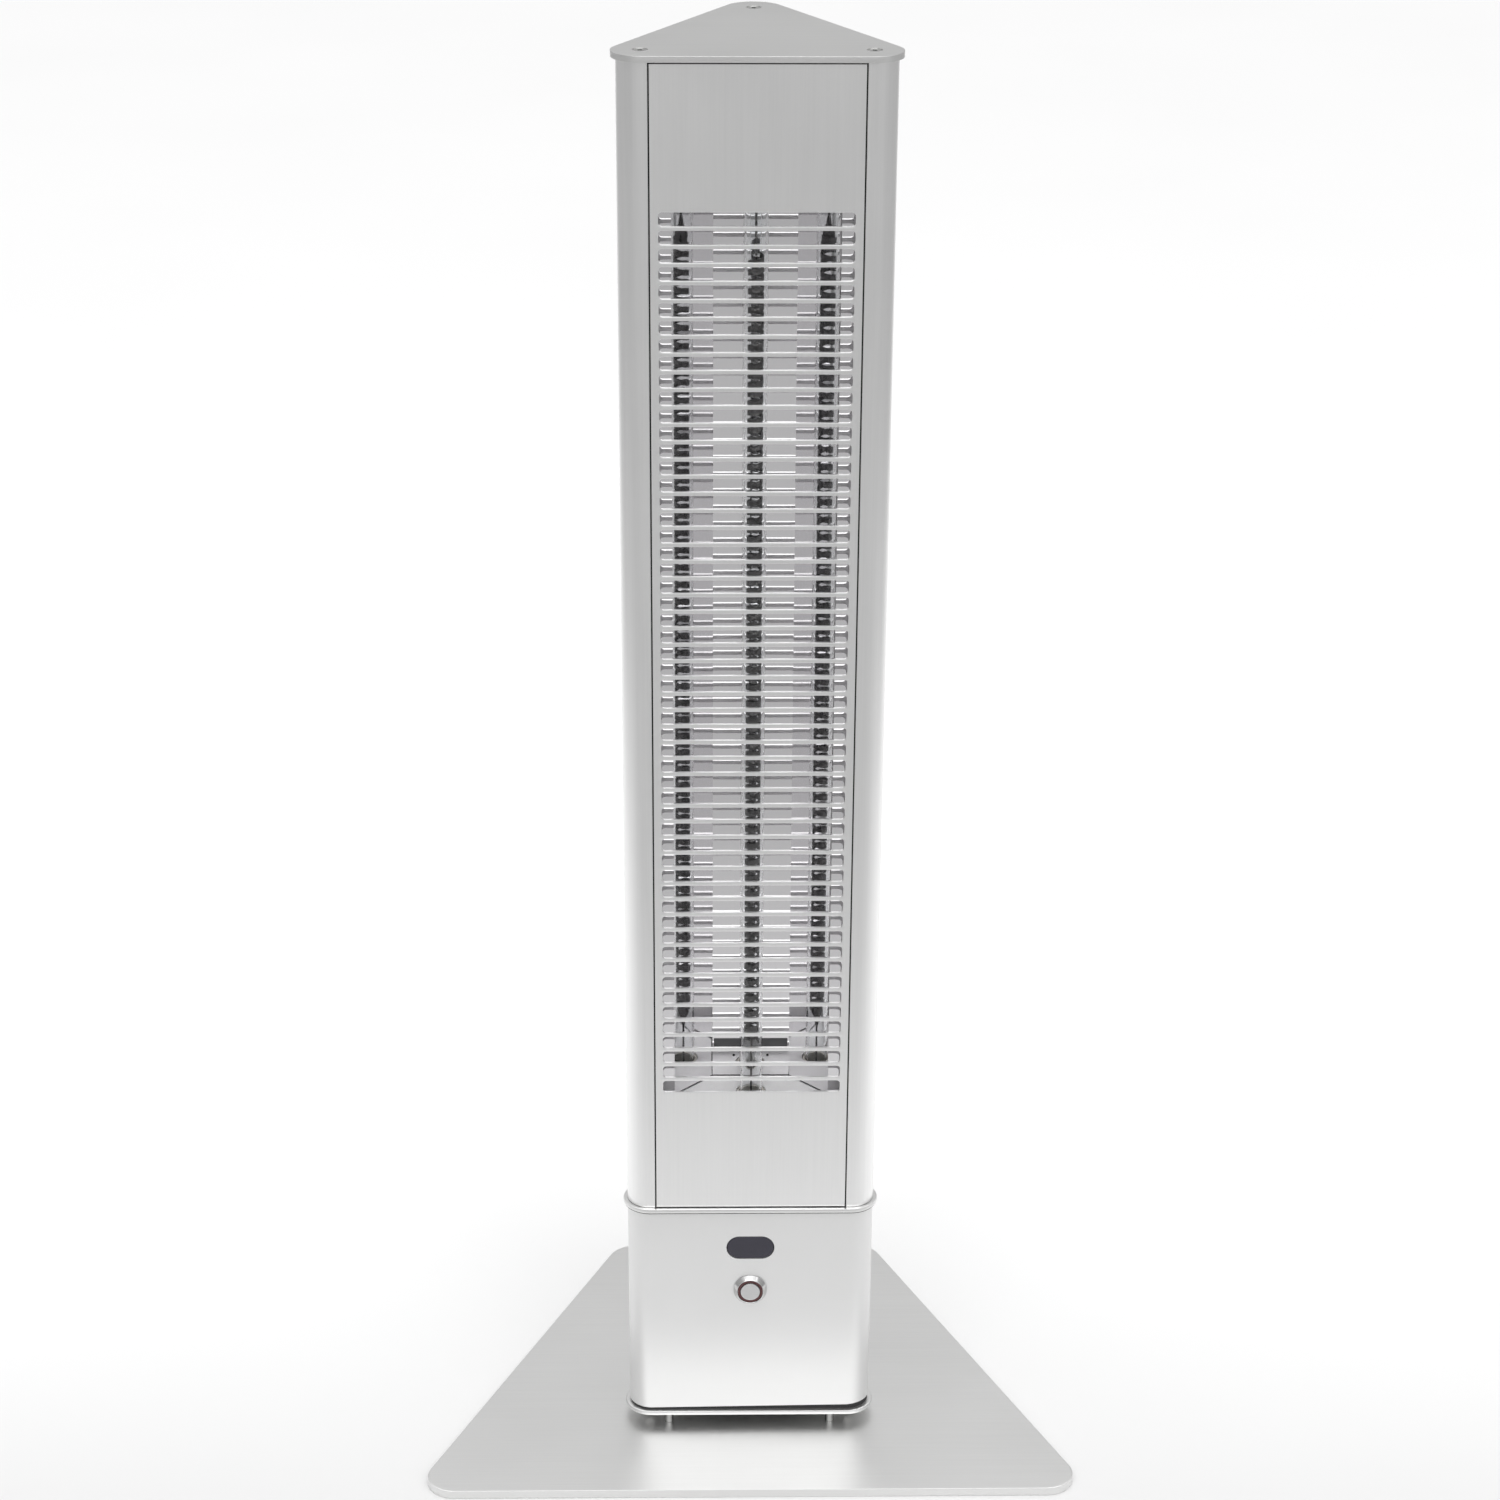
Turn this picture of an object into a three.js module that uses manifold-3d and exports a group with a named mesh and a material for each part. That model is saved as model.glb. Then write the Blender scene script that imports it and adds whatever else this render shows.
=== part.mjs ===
// Infrared patio heater tower: a three-sided aluminium tower on a base box and a flat base plate.
// Millimetres, +Z up. The origin is on the floor, on the tower's axis; the controls face -Y.
import * as THREE from 'three';
import { mergeVertices } from 'three/addons/utils/BufferGeometryUtils.js';
import Module from 'manifold-3d';

const wasm = await Module();
wasm.setup();

// ---------------------------------------------------------------- driving dimensions

// play between pieces that touch or pass through each other
const CLEARANCE = 0.3;

// base plate, a trapezoid that is wide at the front
const BASE_PLATE_THICKNESS = 6;
const BASE_FRONT_WIDTH = 444.8;
const BASE_REAR_WIDTH = 184.6;
const BASE_FRONT_REACH = 127.9;
const BASE_REAR_REACH = 168.2;
const BASE_FRONT_CORNER = 18;
const BASE_REAR_CORNER = 21.7;

// the stack that stands on the base plate
const SPACER_HEIGHT = 7.7;
const LOWER_PLATE_THICKNESS = 3;
const GASKET_THICKNESS = 1.5;
const HOUSING_HEIGHT = 154.2;
const MID_PLATE_THICKNESS = 3;
const TOWER_HEIGHT = 753.4;
const TOP_PLATE_THICKNESS = 3.8;

// rounded triangles, by the distance from the axis to a side and the radius of a corner
const TOWER_INRADIUS = 53;
const TOWER_CORNER = 15;
const HOUSING_INRADIUS = 52.9;
const HOUSING_CORNER = 15;
const HOUSING_WALL = 2;
const TOP_PLATE_OVERHANG = 3;
const MID_PLATE_OVERHANG = 2.7;
const LOWER_PLATE_OVERHANG = 2.7;
const GASKET_RECESS = 0.6;
const GASKET_BAND = 3;

// spacers and the screws that go up through them
const SPACER_RADIUS = 3;
const FRONT_SPACER_X = 54.2;
const FRONT_SPACER_Y = -50.4;
const REAR_SPACER_Y = 60;
const BASE_SCREW_SHANK = 1.9;
const BASE_SCREW_HEAD = 3.9;
const BASE_SCREW_HEAD_DEPTH = 2.2;
const BASE_SCREW_HEAD_RIM = 0.2;
const BASE_SCREW_TIP_RECESS = 0.5;

// corner profiles
const SEAM_FROM_CENTRE = 62.5;
const PROFILE_WALL = 2;
const LIP_REACH = 3.9;
const LIP_THICKNESS = 2;
const LIP_ROOT = 2;
const PORT_FROM_AXIS = 77;
const PORT_BOSS_RADIUS = 4.6;
const PORT_WEB = 3;

// screws in the profiles' ports
const PORT_SCREW_SHANK = 2.3;
const TOP_SCREW_HEAD = 4.3;
const TOP_SCREW_HEAD_DEPTH = 2.3;
const TOP_SCREW_HEAD_RIM = 0.2;
const TOP_SCREW_LENGTH = 22;
const TOP_SCREW_SOCKET = 1.5;
const TOP_SCREW_SOCKET_DEPTH = 1.8;
const TIE_BOLT_HEAD = 4.3;
const TIE_BOLT_HEAD_HEIGHT = 3;
const TIE_BOLT_GRIP = 20;

// grille panels
const PANEL_THICKNESS = 2;
const SLOT_COUNT = 54;
const SLOT_LENGTH = 113.6;
const SLOT_HEIGHT = 8.18;
const SLOT_BAR = 2.6;
const SLOT_CORNER = 2;

// reflectors, one folded channel per face
const REFLECTOR_SHEET = 0.8;
const REFLECTOR_BACK_DEPTH = 33.7;
const REFLECTOR_BACK_HALF = 24.9;
const REFLECTOR_FLANK_REACH = 24.6;
const REFLECTOR_FLANGE = 8;
const REFLECTOR_SEAM = 0.6;
const REFLECTOR_WINDOW_HALF = 24;
const REFLECTOR_WINDOW_HEIGHT = 8.6;
const REFLECTOR_WINDOW_RISE = 18.5;
const REFLECTOR_HOLE_X = 11;
const REFLECTOR_HOLE_RADIUS = 0.9;
const REFLECTOR_HOLE_RISE = 14.5;

// tube carriers: a plate with three short channels that line up with the reflectors
const CARRIER_INSET = 56;
const CARRIER_SHEET = 2;
const CARRIER_CHANNEL_HEIGHT = 22;

// quartz tubes, ceramic caps and carbon spirals
const TUBE_DEPTH = 14.7;
const TUBE_RADIUS = 7.2;
const TUBE_WALL = 1.2;
const TUBE_PLAY = 0.5;
const CAP_BODY_RADIUS = 9.2;
const CAP_COLLAR_RADIUS = 11.5;
const CAP_COLLAR_HEIGHT = 3;
const CAP_BELOW_COLLAR = 12;
const CAP_ABOVE_COLLAR = 18;
const CAP_POCKET_DEPTH = 8;
const LEAD_SIDE = 1.4;
const LEAD_TAIL = 4;
const SPIRAL_RADIUS = 4.35;
const SPIRAL_THICKNESS = 0.8;
const SPIRAL_BAND = 10.4;
const SPIRAL_TURNS = 32;
const SPIRAL_STEPS = 5;
const SPIRAL_INSET = 114;

// display window and the module behind it
const WINDOW_RISE = 126.1;
const WINDOW_WIDTH = 31.5;
const WINDOW_HEIGHT = 17.2;
const WINDOW_FLANGE = 3;
const WINDOW_FLANGE_THICKNESS = 1.5;
const WINDOW_RECESS = 0.2;
const DISPLAY_WIDTH = 34;
const DISPLAY_HEIGHT = 18;
const DISPLAY_DEPTH = 6;
const DISPLAY_BOARD_MARGIN = 4;
const DISPLAY_BOARD_THICKNESS = 1.6;

// push button, measured outward from the housing's face
const BUTTON_RISE = 94;
const BUTTON_BARREL_RADIUS = 9.3;
const BUTTON_BARREL_LENGTH = 24;
const BEZEL_RADIUS = 11;
const BEZEL_RIM = 1.2;
const BEZEL_TOP_RADIUS = 8.9;
const BEZEL_HEIGHT = 3.5;
const LIGHT_RING_OUTER = 8.2;
const LIGHT_RING_INNER = 6.75;
const LIGHT_RING_DEPTH = 2.6;
const CAP_RADIUS = 6.4;
const CAP_PROUD = 0.3;
const CAP_THICKNESS = 6.8;
const CAP_STEM_RADIUS = 2;
const CAP_STEM_LENGTH = 17.5;
const BUTTON_TRAVEL = 2.5;
const BUTTON_NUT_FLATS = 22;
const BUTTON_NUT_HEIGHT = 3;
const BUTTON_TERMINAL_RADIUS = 8;
const BUTTON_TERMINAL_LENGTH = 12;

// cable gland in the right-hand rear face
const GLAND_RISE = 24;
const GLAND_OFFSET = 22;
const GLAND_THREAD_RADIUS = 6;
const GLAND_BORE_RADIUS = 3.6;
const GLAND_FLATS = 17;
const GLAND_HEX_HEIGHT = 5;
const GLAND_DOME_RADIUS = 7.8;
const GLAND_DOME_HEIGHT = 11;
const GLAND_MOUTH_RADIUS = 5.2;
const GLAND_INSIDE = 9;
const GLAND_NUT_HEIGHT = 4;

// control board, terminal block, tip-over switch
const BOARD_WIDTH = 60;
const BOARD_DEPTH = 46;
const BOARD_THICKNESS = 1.6;
const BOARD_REAR = 26;
const BOARD_FOOT = 6;
const BOARD_FOOT_HEIGHT = 10;
const RELAY_SIZE = [20, 16, 16];
const TRANSFORMER_SIZE = [22, 22, 18];
const PLUG_SIZE = 10;
const PLUG_HEIGHT = 12;
const PART_SPACING = 2;
const TERMINAL_BLOCK_SIZE = [30, 14, 18];
const TERMINAL_WAYS = 3;
const TERMINAL_WELL_RADIUS = 2.6;
const TERMINAL_WELL_DEPTH = 5;
const TERMINAL_BLOCK_Y = 43;
const TILT_SWITCH_SIZE = [16, 12, 26];
const TILT_SWITCH_X = 46;
const TILT_SWITCH_Y = -28;

// lead loom up the middle, and the block that it ends in
const LOOM_RADIUS = 3;
const UPPER_BLOCK_RADIUS = 9;
const UPPER_BLOCK_HEIGHT = 18;

// faceting of the round stretches
const CORNER_STEPS = 8;
const SCREW_SIDES = 12;
const TUBE_SIDES = 18;
const CAP_SIDES = 12;
const BUTTON_SIDES = 20;

// ---------------------------------------------------------------- heights

const SPACER_BOTTOM = BASE_PLATE_THICKNESS;
const LOWER_PLATE_BOTTOM = SPACER_BOTTOM + SPACER_HEIGHT;
const LOWER_PLATE_TOP = LOWER_PLATE_BOTTOM + LOWER_PLATE_THICKNESS;
const HOUSING_BOTTOM = LOWER_PLATE_TOP + GASKET_THICKNESS;
const MID_PLATE_BOTTOM = HOUSING_BOTTOM + HOUSING_HEIGHT;
const TOWER_BOTTOM = MID_PLATE_BOTTOM + MID_PLATE_THICKNESS;
const TOWER_TOP = TOWER_BOTTOM + TOWER_HEIGHT;
const TOWER_MIDDLE = (TOWER_BOTTOM + TOWER_TOP) / 2;
const PROFILE_HEIGHT = TOWER_HEIGHT - 2 * CLEARANCE;

// ---------------------------------------------------------------- materials

function finish(name, colour, roughness, metalness) {
  const material = new THREE.MeshStandardMaterial({ color: colour, roughness, metalness });
  material.name = name;
  return material;
}

const satinAluminium = finish('satin_aluminium', 0xd2d2d0, 0.38, 1);
const paintedHousing = finish('silver_paint', 0xdddddc, 0.45, 0.3);
const mirrorAluminium = finish('mirror_aluminium', 0xe8e8e8, 0.08, 1);
const zincSteel = finish('zinc_steel', 0xb4b4b0, 0.35, 1);
const stainless = finish('polished_steel', 0xcfcfcf, 0.15, 1);
const quartz = finish('quartz', 0xeef4f6, 0.03, 0);
const carbon = finish('carbon', 0x2c2b2b, 0.8, 0.1);
const ceramic = finish('ceramic', 0xeeeae2, 0.6, 0);
const rubber = finish('black_rubber', 0x1c1c1d, 0.85, 0);
const smokedLens = finish('smoked_lens', 0x3c3a46, 0.12, 0);
const ringPlastic = finish('ring_plastic', 0x4c2f31, 0.4, 0);
const blackPlastic = finish('black_plastic', 0x202124, 0.55, 0);
const boardGreen = finish('board_green', 0x1f5a3a, 0.5, 0);
const sleeve = finish('loom_sleeve', 0xd9d2c4, 0.8, 0);

// ---------------------------------------------------------------- flat outlines

function at(x, y) {
  return new THREE.Vector2(x, y);
}

// corners run counter-clockwise; radius is one number, or one per corner
function roundedOutline(corners, radius, steps = CORNER_STEPS) {
  const points = [];
  corners.forEach((corner, i) => {
    const before = corners[(i + corners.length - 1) % corners.length];
    const after = corners[(i + 1) % corners.length];
    const bend = Array.isArray(radius) ? radius[i] : radius;
    const into = corner.clone().sub(before).normalize();
    const out = after.clone().sub(corner).normalize();
    const turn = Math.acos(into.dot(out));
    const start = corner.clone().addScaledVector(into, -bend * Math.tan(turn / 2));
    const centre = start.clone().addScaledVector(at(-into.y, into.x), bend);
    const first = Math.atan2(start.y - centre.y, start.x - centre.x);
    for (let k = 0; k <= steps; k += 1) {
      const angle = first + (turn * k) / steps;
      points.push(at(centre.x + bend * Math.cos(angle), centre.y + bend * Math.sin(angle)));
    }
  });
  return points;
}

// a triangle with one side towards -Y
function triangle(inradius, corner) {
  const corners = [-150, -30, 90].map((degrees) => {
    const angle = THREE.MathUtils.degToRad(degrees);
    return at(2 * inradius * Math.cos(angle), 2 * inradius * Math.sin(angle));
  });
  return roundedOutline(corners, corner);
}

function circle(radius, x = 0, y = 0, sides = SCREW_SIDES) {
  const points = [];
  for (let k = 0; k < sides; k += 1) {
    const angle = (2 * Math.PI * k) / sides;
    points.push(at(x + radius * Math.cos(angle), y + radius * Math.sin(angle)));
  }
  return points;
}

function rectangle(width, depth, x = 0, y = 0) {
  return [
    at(x - width / 2, y - depth / 2),
    at(x + width / 2, y - depth / 2),
    at(x + width / 2, y + depth / 2),
    at(x - width / 2, y + depth / 2),
  ];
}

function stadium(width, height, y = 0) {
  return roundedOutline(rectangle(width, height, 0, y), height / 2 - 0.01);
}

function hexagon(flats) {
  return circle(flats / Math.sqrt(3), 0, 0, 6);
}

// ---------------------------------------------------------------- solids

// merges shared vertices, drops empty triangles and points the faces outward
function closed(geometry) {
  const bare = geometry.clone();
  bare.deleteAttribute('normal');
  bare.deleteAttribute('uv');
  const merged = mergeVertices(bare, 1e-4);
  const position = merged.getAttribute('position');
  const corner = [0, 1, 2].map(() => new THREE.Vector3());
  const faces = [];
  let volume = 0;
  for (let i = 0; i < merged.index.count; i += 3) {
    const face = [0, 1, 2].map((k) => merged.index.getX(i + k));
    if (new Set(face).size === 3) {
      face.forEach((vertex, k) => corner[k].fromBufferAttribute(position, vertex));
      volume += corner[0].dot(corner[1].clone().cross(corner[2])) / 6;
      faces.push(face);
    }
  }
  if (volume < 0) {
    faces.forEach((face) => face.reverse());
  }
  merged.setIndex(faces.flat());
  return merged;
}

function toManifold(geometry) {
  const solid = closed(geometry);
  return new wasm.Manifold(
    new wasm.Mesh({
      numProp: 3,
      vertProperties: new Float32Array(solid.getAttribute('position').array),
      triVerts: new Uint32Array(solid.index.array),
    }),
  );
}

function fromManifold(manifold) {
  const mesh = manifold.getMesh();
  const geometry = new THREE.BufferGeometry();
  geometry.setAttribute('position', new THREE.BufferAttribute(mesh.vertProperties, 3));
  geometry.setIndex(new THREE.BufferAttribute(mesh.triVerts, 1));
  return geometry;
}

function join(...geometries) {
  return fromManifold(geometries.map(toManifold).reduce((sum, next) => sum.add(next)));
}

function cut(geometry, ...cutters) {
  return fromManifold(cutters.map(toManifold).reduce((rest, next) => rest.subtract(next), toManifold(geometry)));
}

// an outline with holes, extruded upward from z = bottom
function slab(outline, bottom, height, holes = []) {
  const shape = new THREE.Shape(outline);
  shape.holes = holes.map((hole) => new THREE.Path(hole));
  const geometry = new THREE.ExtrudeGeometry(shape, { depth: height, bevelEnabled: false });
  return closed(geometry.translate(0, 0, bottom));
}

// the same, for a piece that lies in the front face's plane: the outline is (x, z)
function frontSlab(outline, innerY, thickness, holes = []) {
  return slab(outline, -innerY, thickness, holes).rotateX(Math.PI / 2);
}

function box(size, x, y, bottom) {
  return slab(rectangle(size[0], size[1], x, y), bottom, size[2]);
}

// profile points are [radius, height]
function turned(profile, sides) {
  const points = profile.map(([radius, height]) => at(radius, height));
  return closed(new THREE.LatheGeometry(points, sides).rotateX(Math.PI / 2));
}

function turnedRing(profile, sides) {
  return turned([...profile, profile[0]], sides);
}

// turns a piece made about the Z axis so that its heights point out of the front face
function outwardFromFace(geometry, rise, faceY) {
  return geometry.rotateX(Math.PI / 2).translate(0, faceY, rise);
}

// ---------------------------------------------------------------- base

const SPACER_PLACES = [
  [-FRONT_SPACER_X, FRONT_SPACER_Y],
  [FRONT_SPACER_X, FRONT_SPACER_Y],
  [0, REAR_SPACER_Y],
];
const BASE_SCREW_TOP = LOWER_PLATE_TOP - BASE_SCREW_TIP_RECESS;

// countersunk head below, shank upward; margin widens it into the hole that takes it
function baseScrew(margin = 0) {
  const foot = CLEARANCE - margin;
  return turned(
    [
      [0, foot],
      [BASE_SCREW_HEAD + margin, foot],
      [BASE_SCREW_HEAD + margin, CLEARANCE + BASE_SCREW_HEAD_RIM],
      [BASE_SCREW_SHANK + margin, BASE_SCREW_HEAD_DEPTH],
      [BASE_SCREW_SHANK + margin, BASE_SCREW_TOP + margin],
      [0, BASE_SCREW_TOP + margin],
    ],
    SCREW_SIDES,
  );
}

function basePlate() {
  const outline = roundedOutline(
    [
      at(-BASE_FRONT_WIDTH / 2, -BASE_FRONT_REACH),
      at(BASE_FRONT_WIDTH / 2, -BASE_FRONT_REACH),
      at(BASE_REAR_WIDTH / 2, BASE_REAR_REACH),
      at(-BASE_REAR_WIDTH / 2, BASE_REAR_REACH),
    ],
    [BASE_FRONT_CORNER, BASE_FRONT_CORNER, BASE_REAR_CORNER, BASE_REAR_CORNER],
  );
  const holes = SPACER_PLACES.map(([x, y]) => baseScrew(CLEARANCE).translate(x, y, 0));
  return cut(slab(outline, 0, BASE_PLATE_THICKNESS), ...holes);
}

function spacer([x, y]) {
  const bore = circle(BASE_SCREW_SHANK + CLEARANCE, x, y);
  return slab(circle(SPACER_RADIUS, x, y), SPACER_BOTTOM, SPACER_HEIGHT, [bore]);
}

// the ports' places in plan, one per corner
const PORT_PLACES = [-30, 90, 210].map((degrees) => {
  const angle = THREE.MathUtils.degToRad(degrees);
  return [PORT_FROM_AXIS * Math.cos(angle), PORT_FROM_AXIS * Math.sin(angle)];
});

function portHoles() {
  return PORT_PLACES.map(([x, y]) => circle(PORT_SCREW_SHANK + CLEARANCE, x, y));
}

function lowerPlate() {
  const outline = triangle(HOUSING_INRADIUS + LOWER_PLATE_OVERHANG, HOUSING_CORNER + LOWER_PLATE_OVERHANG);
  const screwHoles = SPACER_PLACES.map(([x, y]) => circle(BASE_SCREW_SHANK + CLEARANCE, x, y));
  return slab(outline, LOWER_PLATE_BOTTOM, LOWER_PLATE_THICKNESS, [...portHoles(), ...screwHoles]);
}

function baseGasket() {
  const outer = triangle(HOUSING_INRADIUS - GASKET_RECESS, HOUSING_CORNER - GASKET_RECESS);
  const inset = GASKET_RECESS + GASKET_BAND;
  const inner = triangle(HOUSING_INRADIUS - inset, HOUSING_CORNER - inset);
  return slab(outer, LOWER_PLATE_TOP, GASKET_THICKNESS, [inner]);
}

const WINDOW_CENTRE = HOUSING_BOTTOM + WINDOW_RISE;
const BUTTON_CENTRE = HOUSING_BOTTOM + BUTTON_RISE;
const GLAND_CENTRE = HOUSING_BOTTOM + GLAND_RISE;
const HOUSING_FACE = -HOUSING_INRADIUS;
const HOUSING_INNER_FACE = HOUSING_FACE + HOUSING_WALL;
const THIRD_TURN = (2 * Math.PI) / 3;

function baseHousing() {
  const outer = triangle(HOUSING_INRADIUS, HOUSING_CORNER);
  const inner = triangle(HOUSING_INRADIUS - HOUSING_WALL, HOUSING_CORNER - HOUSING_WALL);
  const tube = slab(outer, HOUSING_BOTTOM, HOUSING_HEIGHT, [inner]);
  const through = 3 * HOUSING_WALL;
  const start = HOUSING_INNER_FACE + HOUSING_WALL;
  const window = frontSlab(stadium(WINDOW_WIDTH, WINDOW_HEIGHT, WINDOW_CENTRE), start, through);
  const buttonHole = frontSlab(
    circle(BUTTON_BARREL_RADIUS + CLEARANCE, 0, BUTTON_CENTRE, BUTTON_SIDES),
    start,
    through,
  );
  const glandHole = frontSlab(circle(GLAND_THREAD_RADIUS + CLEARANCE, GLAND_OFFSET, GLAND_CENTRE), start, through);
  return cut(tube, window, buttonHole, glandHole.rotateZ(THIRD_TURN));
}

function midPlate() {
  const outline = triangle(TOWER_INRADIUS + MID_PLATE_OVERHANG, TOWER_CORNER + MID_PLATE_OVERHANG);
  const loomHole = circle(LOOM_RADIUS + CLEARANCE, 0, 0);
  return slab(outline, MID_PLATE_BOTTOM, MID_PLATE_THICKNESS, [...portHoles(), loomHole]);
}

// ---------------------------------------------------------------- controls in the base housing

function displayWindow() {
  const width = WINDOW_WIDTH - 2 * CLEARANCE;
  const height = WINDOW_HEIGHT - 2 * CLEARANCE;
  const flangeFront = HOUSING_INNER_FACE + CLEARANCE;
  const flangeBack = flangeFront + WINDOW_FLANGE_THICKNESS;
  const lensFront = HOUSING_FACE + WINDOW_RECESS;
  const lens = frontSlab(stadium(width, height, WINDOW_CENTRE), flangeBack, flangeBack - lensFront);
  const flange = frontSlab(
    stadium(WINDOW_WIDTH + 2 * WINDOW_FLANGE, WINDOW_HEIGHT + 2 * WINDOW_FLANGE, WINDOW_CENTRE),
    flangeBack,
    WINDOW_FLANGE_THICKNESS,
  );
  return join(lens, flange);
}

function displayModule() {
  const front = HOUSING_INNER_FACE + WINDOW_FLANGE_THICKNESS + 2 * CLEARANCE;
  const back = front + DISPLAY_DEPTH;
  const face = rectangle(DISPLAY_WIDTH, DISPLAY_HEIGHT, 0, WINDOW_CENTRE);
  const board = rectangle(
    DISPLAY_WIDTH + 2 * DISPLAY_BOARD_MARGIN,
    DISPLAY_HEIGHT + 2 * DISPLAY_BOARD_MARGIN,
    0,
    WINDOW_CENTRE,
  );
  return join(
    frontSlab(face, back, DISPLAY_DEPTH),
    frontSlab(board, back + DISPLAY_BOARD_THICKNESS / 2, DISPLAY_BOARD_THICKNESS),
  );
}

const GROOVE_FLOOR = BEZEL_HEIGHT - LIGHT_RING_DEPTH - 2 * CLEARANCE;
const CAP_TOP = BEZEL_HEIGHT + CAP_PROUD;
const CAP_BOTTOM = CAP_TOP - CAP_THICKNESS;
const CAP_WELL_FLOOR = CAP_BOTTOM - BUTTON_TRAVEL - CLEARANCE;

function buttonPiece(profile, ring) {
  const piece = ring ? turnedRing(profile, BUTTON_SIDES) : turned(profile, BUTTON_SIDES);
  return outwardFromFace(piece, BUTTON_CENTRE, HOUSING_FACE);
}

function buttonBody() {
  const stemBore = CAP_STEM_RADIUS + CLEARANCE;
  return buttonPiece(
    [
      [stemBore, -BUTTON_BARREL_LENGTH],
      [BUTTON_BARREL_RADIUS, -BUTTON_BARREL_LENGTH],
      [BUTTON_BARREL_RADIUS, CLEARANCE],
      [BEZEL_RADIUS, CLEARANCE],
      [BEZEL_RADIUS, BEZEL_RIM],
      [BEZEL_TOP_RADIUS, BEZEL_HEIGHT],
      [LIGHT_RING_OUTER + CLEARANCE, BEZEL_HEIGHT],
      [LIGHT_RING_OUTER + CLEARANCE, GROOVE_FLOOR],
      [LIGHT_RING_INNER, GROOVE_FLOOR],
      [LIGHT_RING_INNER, CAP_WELL_FLOOR],
      [stemBore, CAP_WELL_FLOOR],
    ],
    true,
  );
}

function buttonLightRing() {
  const low = GROOVE_FLOOR + CLEARANCE;
  const high = low + LIGHT_RING_DEPTH;
  const profile = [
    [LIGHT_RING_INNER, low],
    [LIGHT_RING_OUTER, low],
    [LIGHT_RING_OUTER, high],
    [LIGHT_RING_INNER, high],
  ];
  return buttonPiece(profile, true);
}

function buttonCap() {
  const edge = CAP_PROUD;
  const profile = [
    [0, CAP_BOTTOM - CAP_STEM_LENGTH],
    [CAP_STEM_RADIUS, CAP_BOTTOM - CAP_STEM_LENGTH],
    [CAP_STEM_RADIUS, CAP_BOTTOM],
    [CAP_RADIUS, CAP_BOTTOM],
    [CAP_RADIUS, CAP_TOP - edge],
    [CAP_RADIUS - edge, CAP_TOP],
    [0, CAP_TOP],
  ];
  return buttonPiece(profile, false);
}

function buttonNut() {
  const bore = circle(BUTTON_BARREL_RADIUS + CLEARANCE, 0, 0, BUTTON_SIDES);
  const top = -HOUSING_WALL - CLEARANCE;
  const nut = slab(hexagon(BUTTON_NUT_FLATS), top - BUTTON_NUT_HEIGHT, BUTTON_NUT_HEIGHT, [bore]);
  return outwardFromFace(nut, BUTTON_CENTRE, HOUSING_FACE);
}

function buttonTerminals() {
  const top = -BUTTON_BARREL_LENGTH - CLEARANCE;
  const block = slab(circle(BUTTON_TERMINAL_RADIUS), top - BUTTON_TERMINAL_LENGTH, BUTTON_TERMINAL_LENGTH);
  return outwardFromFace(block, BUTTON_CENTRE, HOUSING_FACE);
}

function cableGland() {
  const domeBase = CLEARANCE + GLAND_HEX_HEIGHT;
  const domeTop = domeBase + GLAND_DOME_HEIGHT;
  const barrel = turnedRing(
    [
      [GLAND_BORE_RADIUS, -GLAND_INSIDE],
      [GLAND_THREAD_RADIUS, -GLAND_INSIDE],
      [GLAND_THREAD_RADIUS, domeBase - 1],
      [GLAND_DOME_RADIUS, domeBase - 1],
      [GLAND_DOME_RADIUS, domeBase + GLAND_DOME_HEIGHT / 2],
      [GLAND_MOUTH_RADIUS, domeTop],
      [GLAND_BORE_RADIUS, domeTop],
    ],
    SCREW_SIDES,
  );
  const hex = slab(hexagon(GLAND_FLATS), CLEARANCE, GLAND_HEX_HEIGHT, [circle(GLAND_THREAD_RADIUS - 1)]);
  const gland = outwardFromFace(join(barrel, hex), GLAND_CENTRE, HOUSING_FACE);
  return gland.translate(GLAND_OFFSET, 0, 0).rotateZ(THIRD_TURN);
}

function glandLocknut() {
  const top = -HOUSING_WALL - CLEARANCE;
  const bore = circle(GLAND_THREAD_RADIUS + CLEARANCE);
  const nut = slab(hexagon(GLAND_FLATS), top - GLAND_NUT_HEIGHT, GLAND_NUT_HEIGHT, [bore]);
  return outwardFromFace(nut, GLAND_CENTRE, HOUSING_FACE).translate(GLAND_OFFSET, 0, 0).rotateZ(THIRD_TURN);
}

const BOARD_BOTTOM = LOWER_PLATE_TOP + BOARD_FOOT_HEIGHT;
const BOARD_TOP = BOARD_BOTTOM + BOARD_THICKNESS;
const PLUG_TOP = BOARD_TOP + PLUG_HEIGHT;

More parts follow.
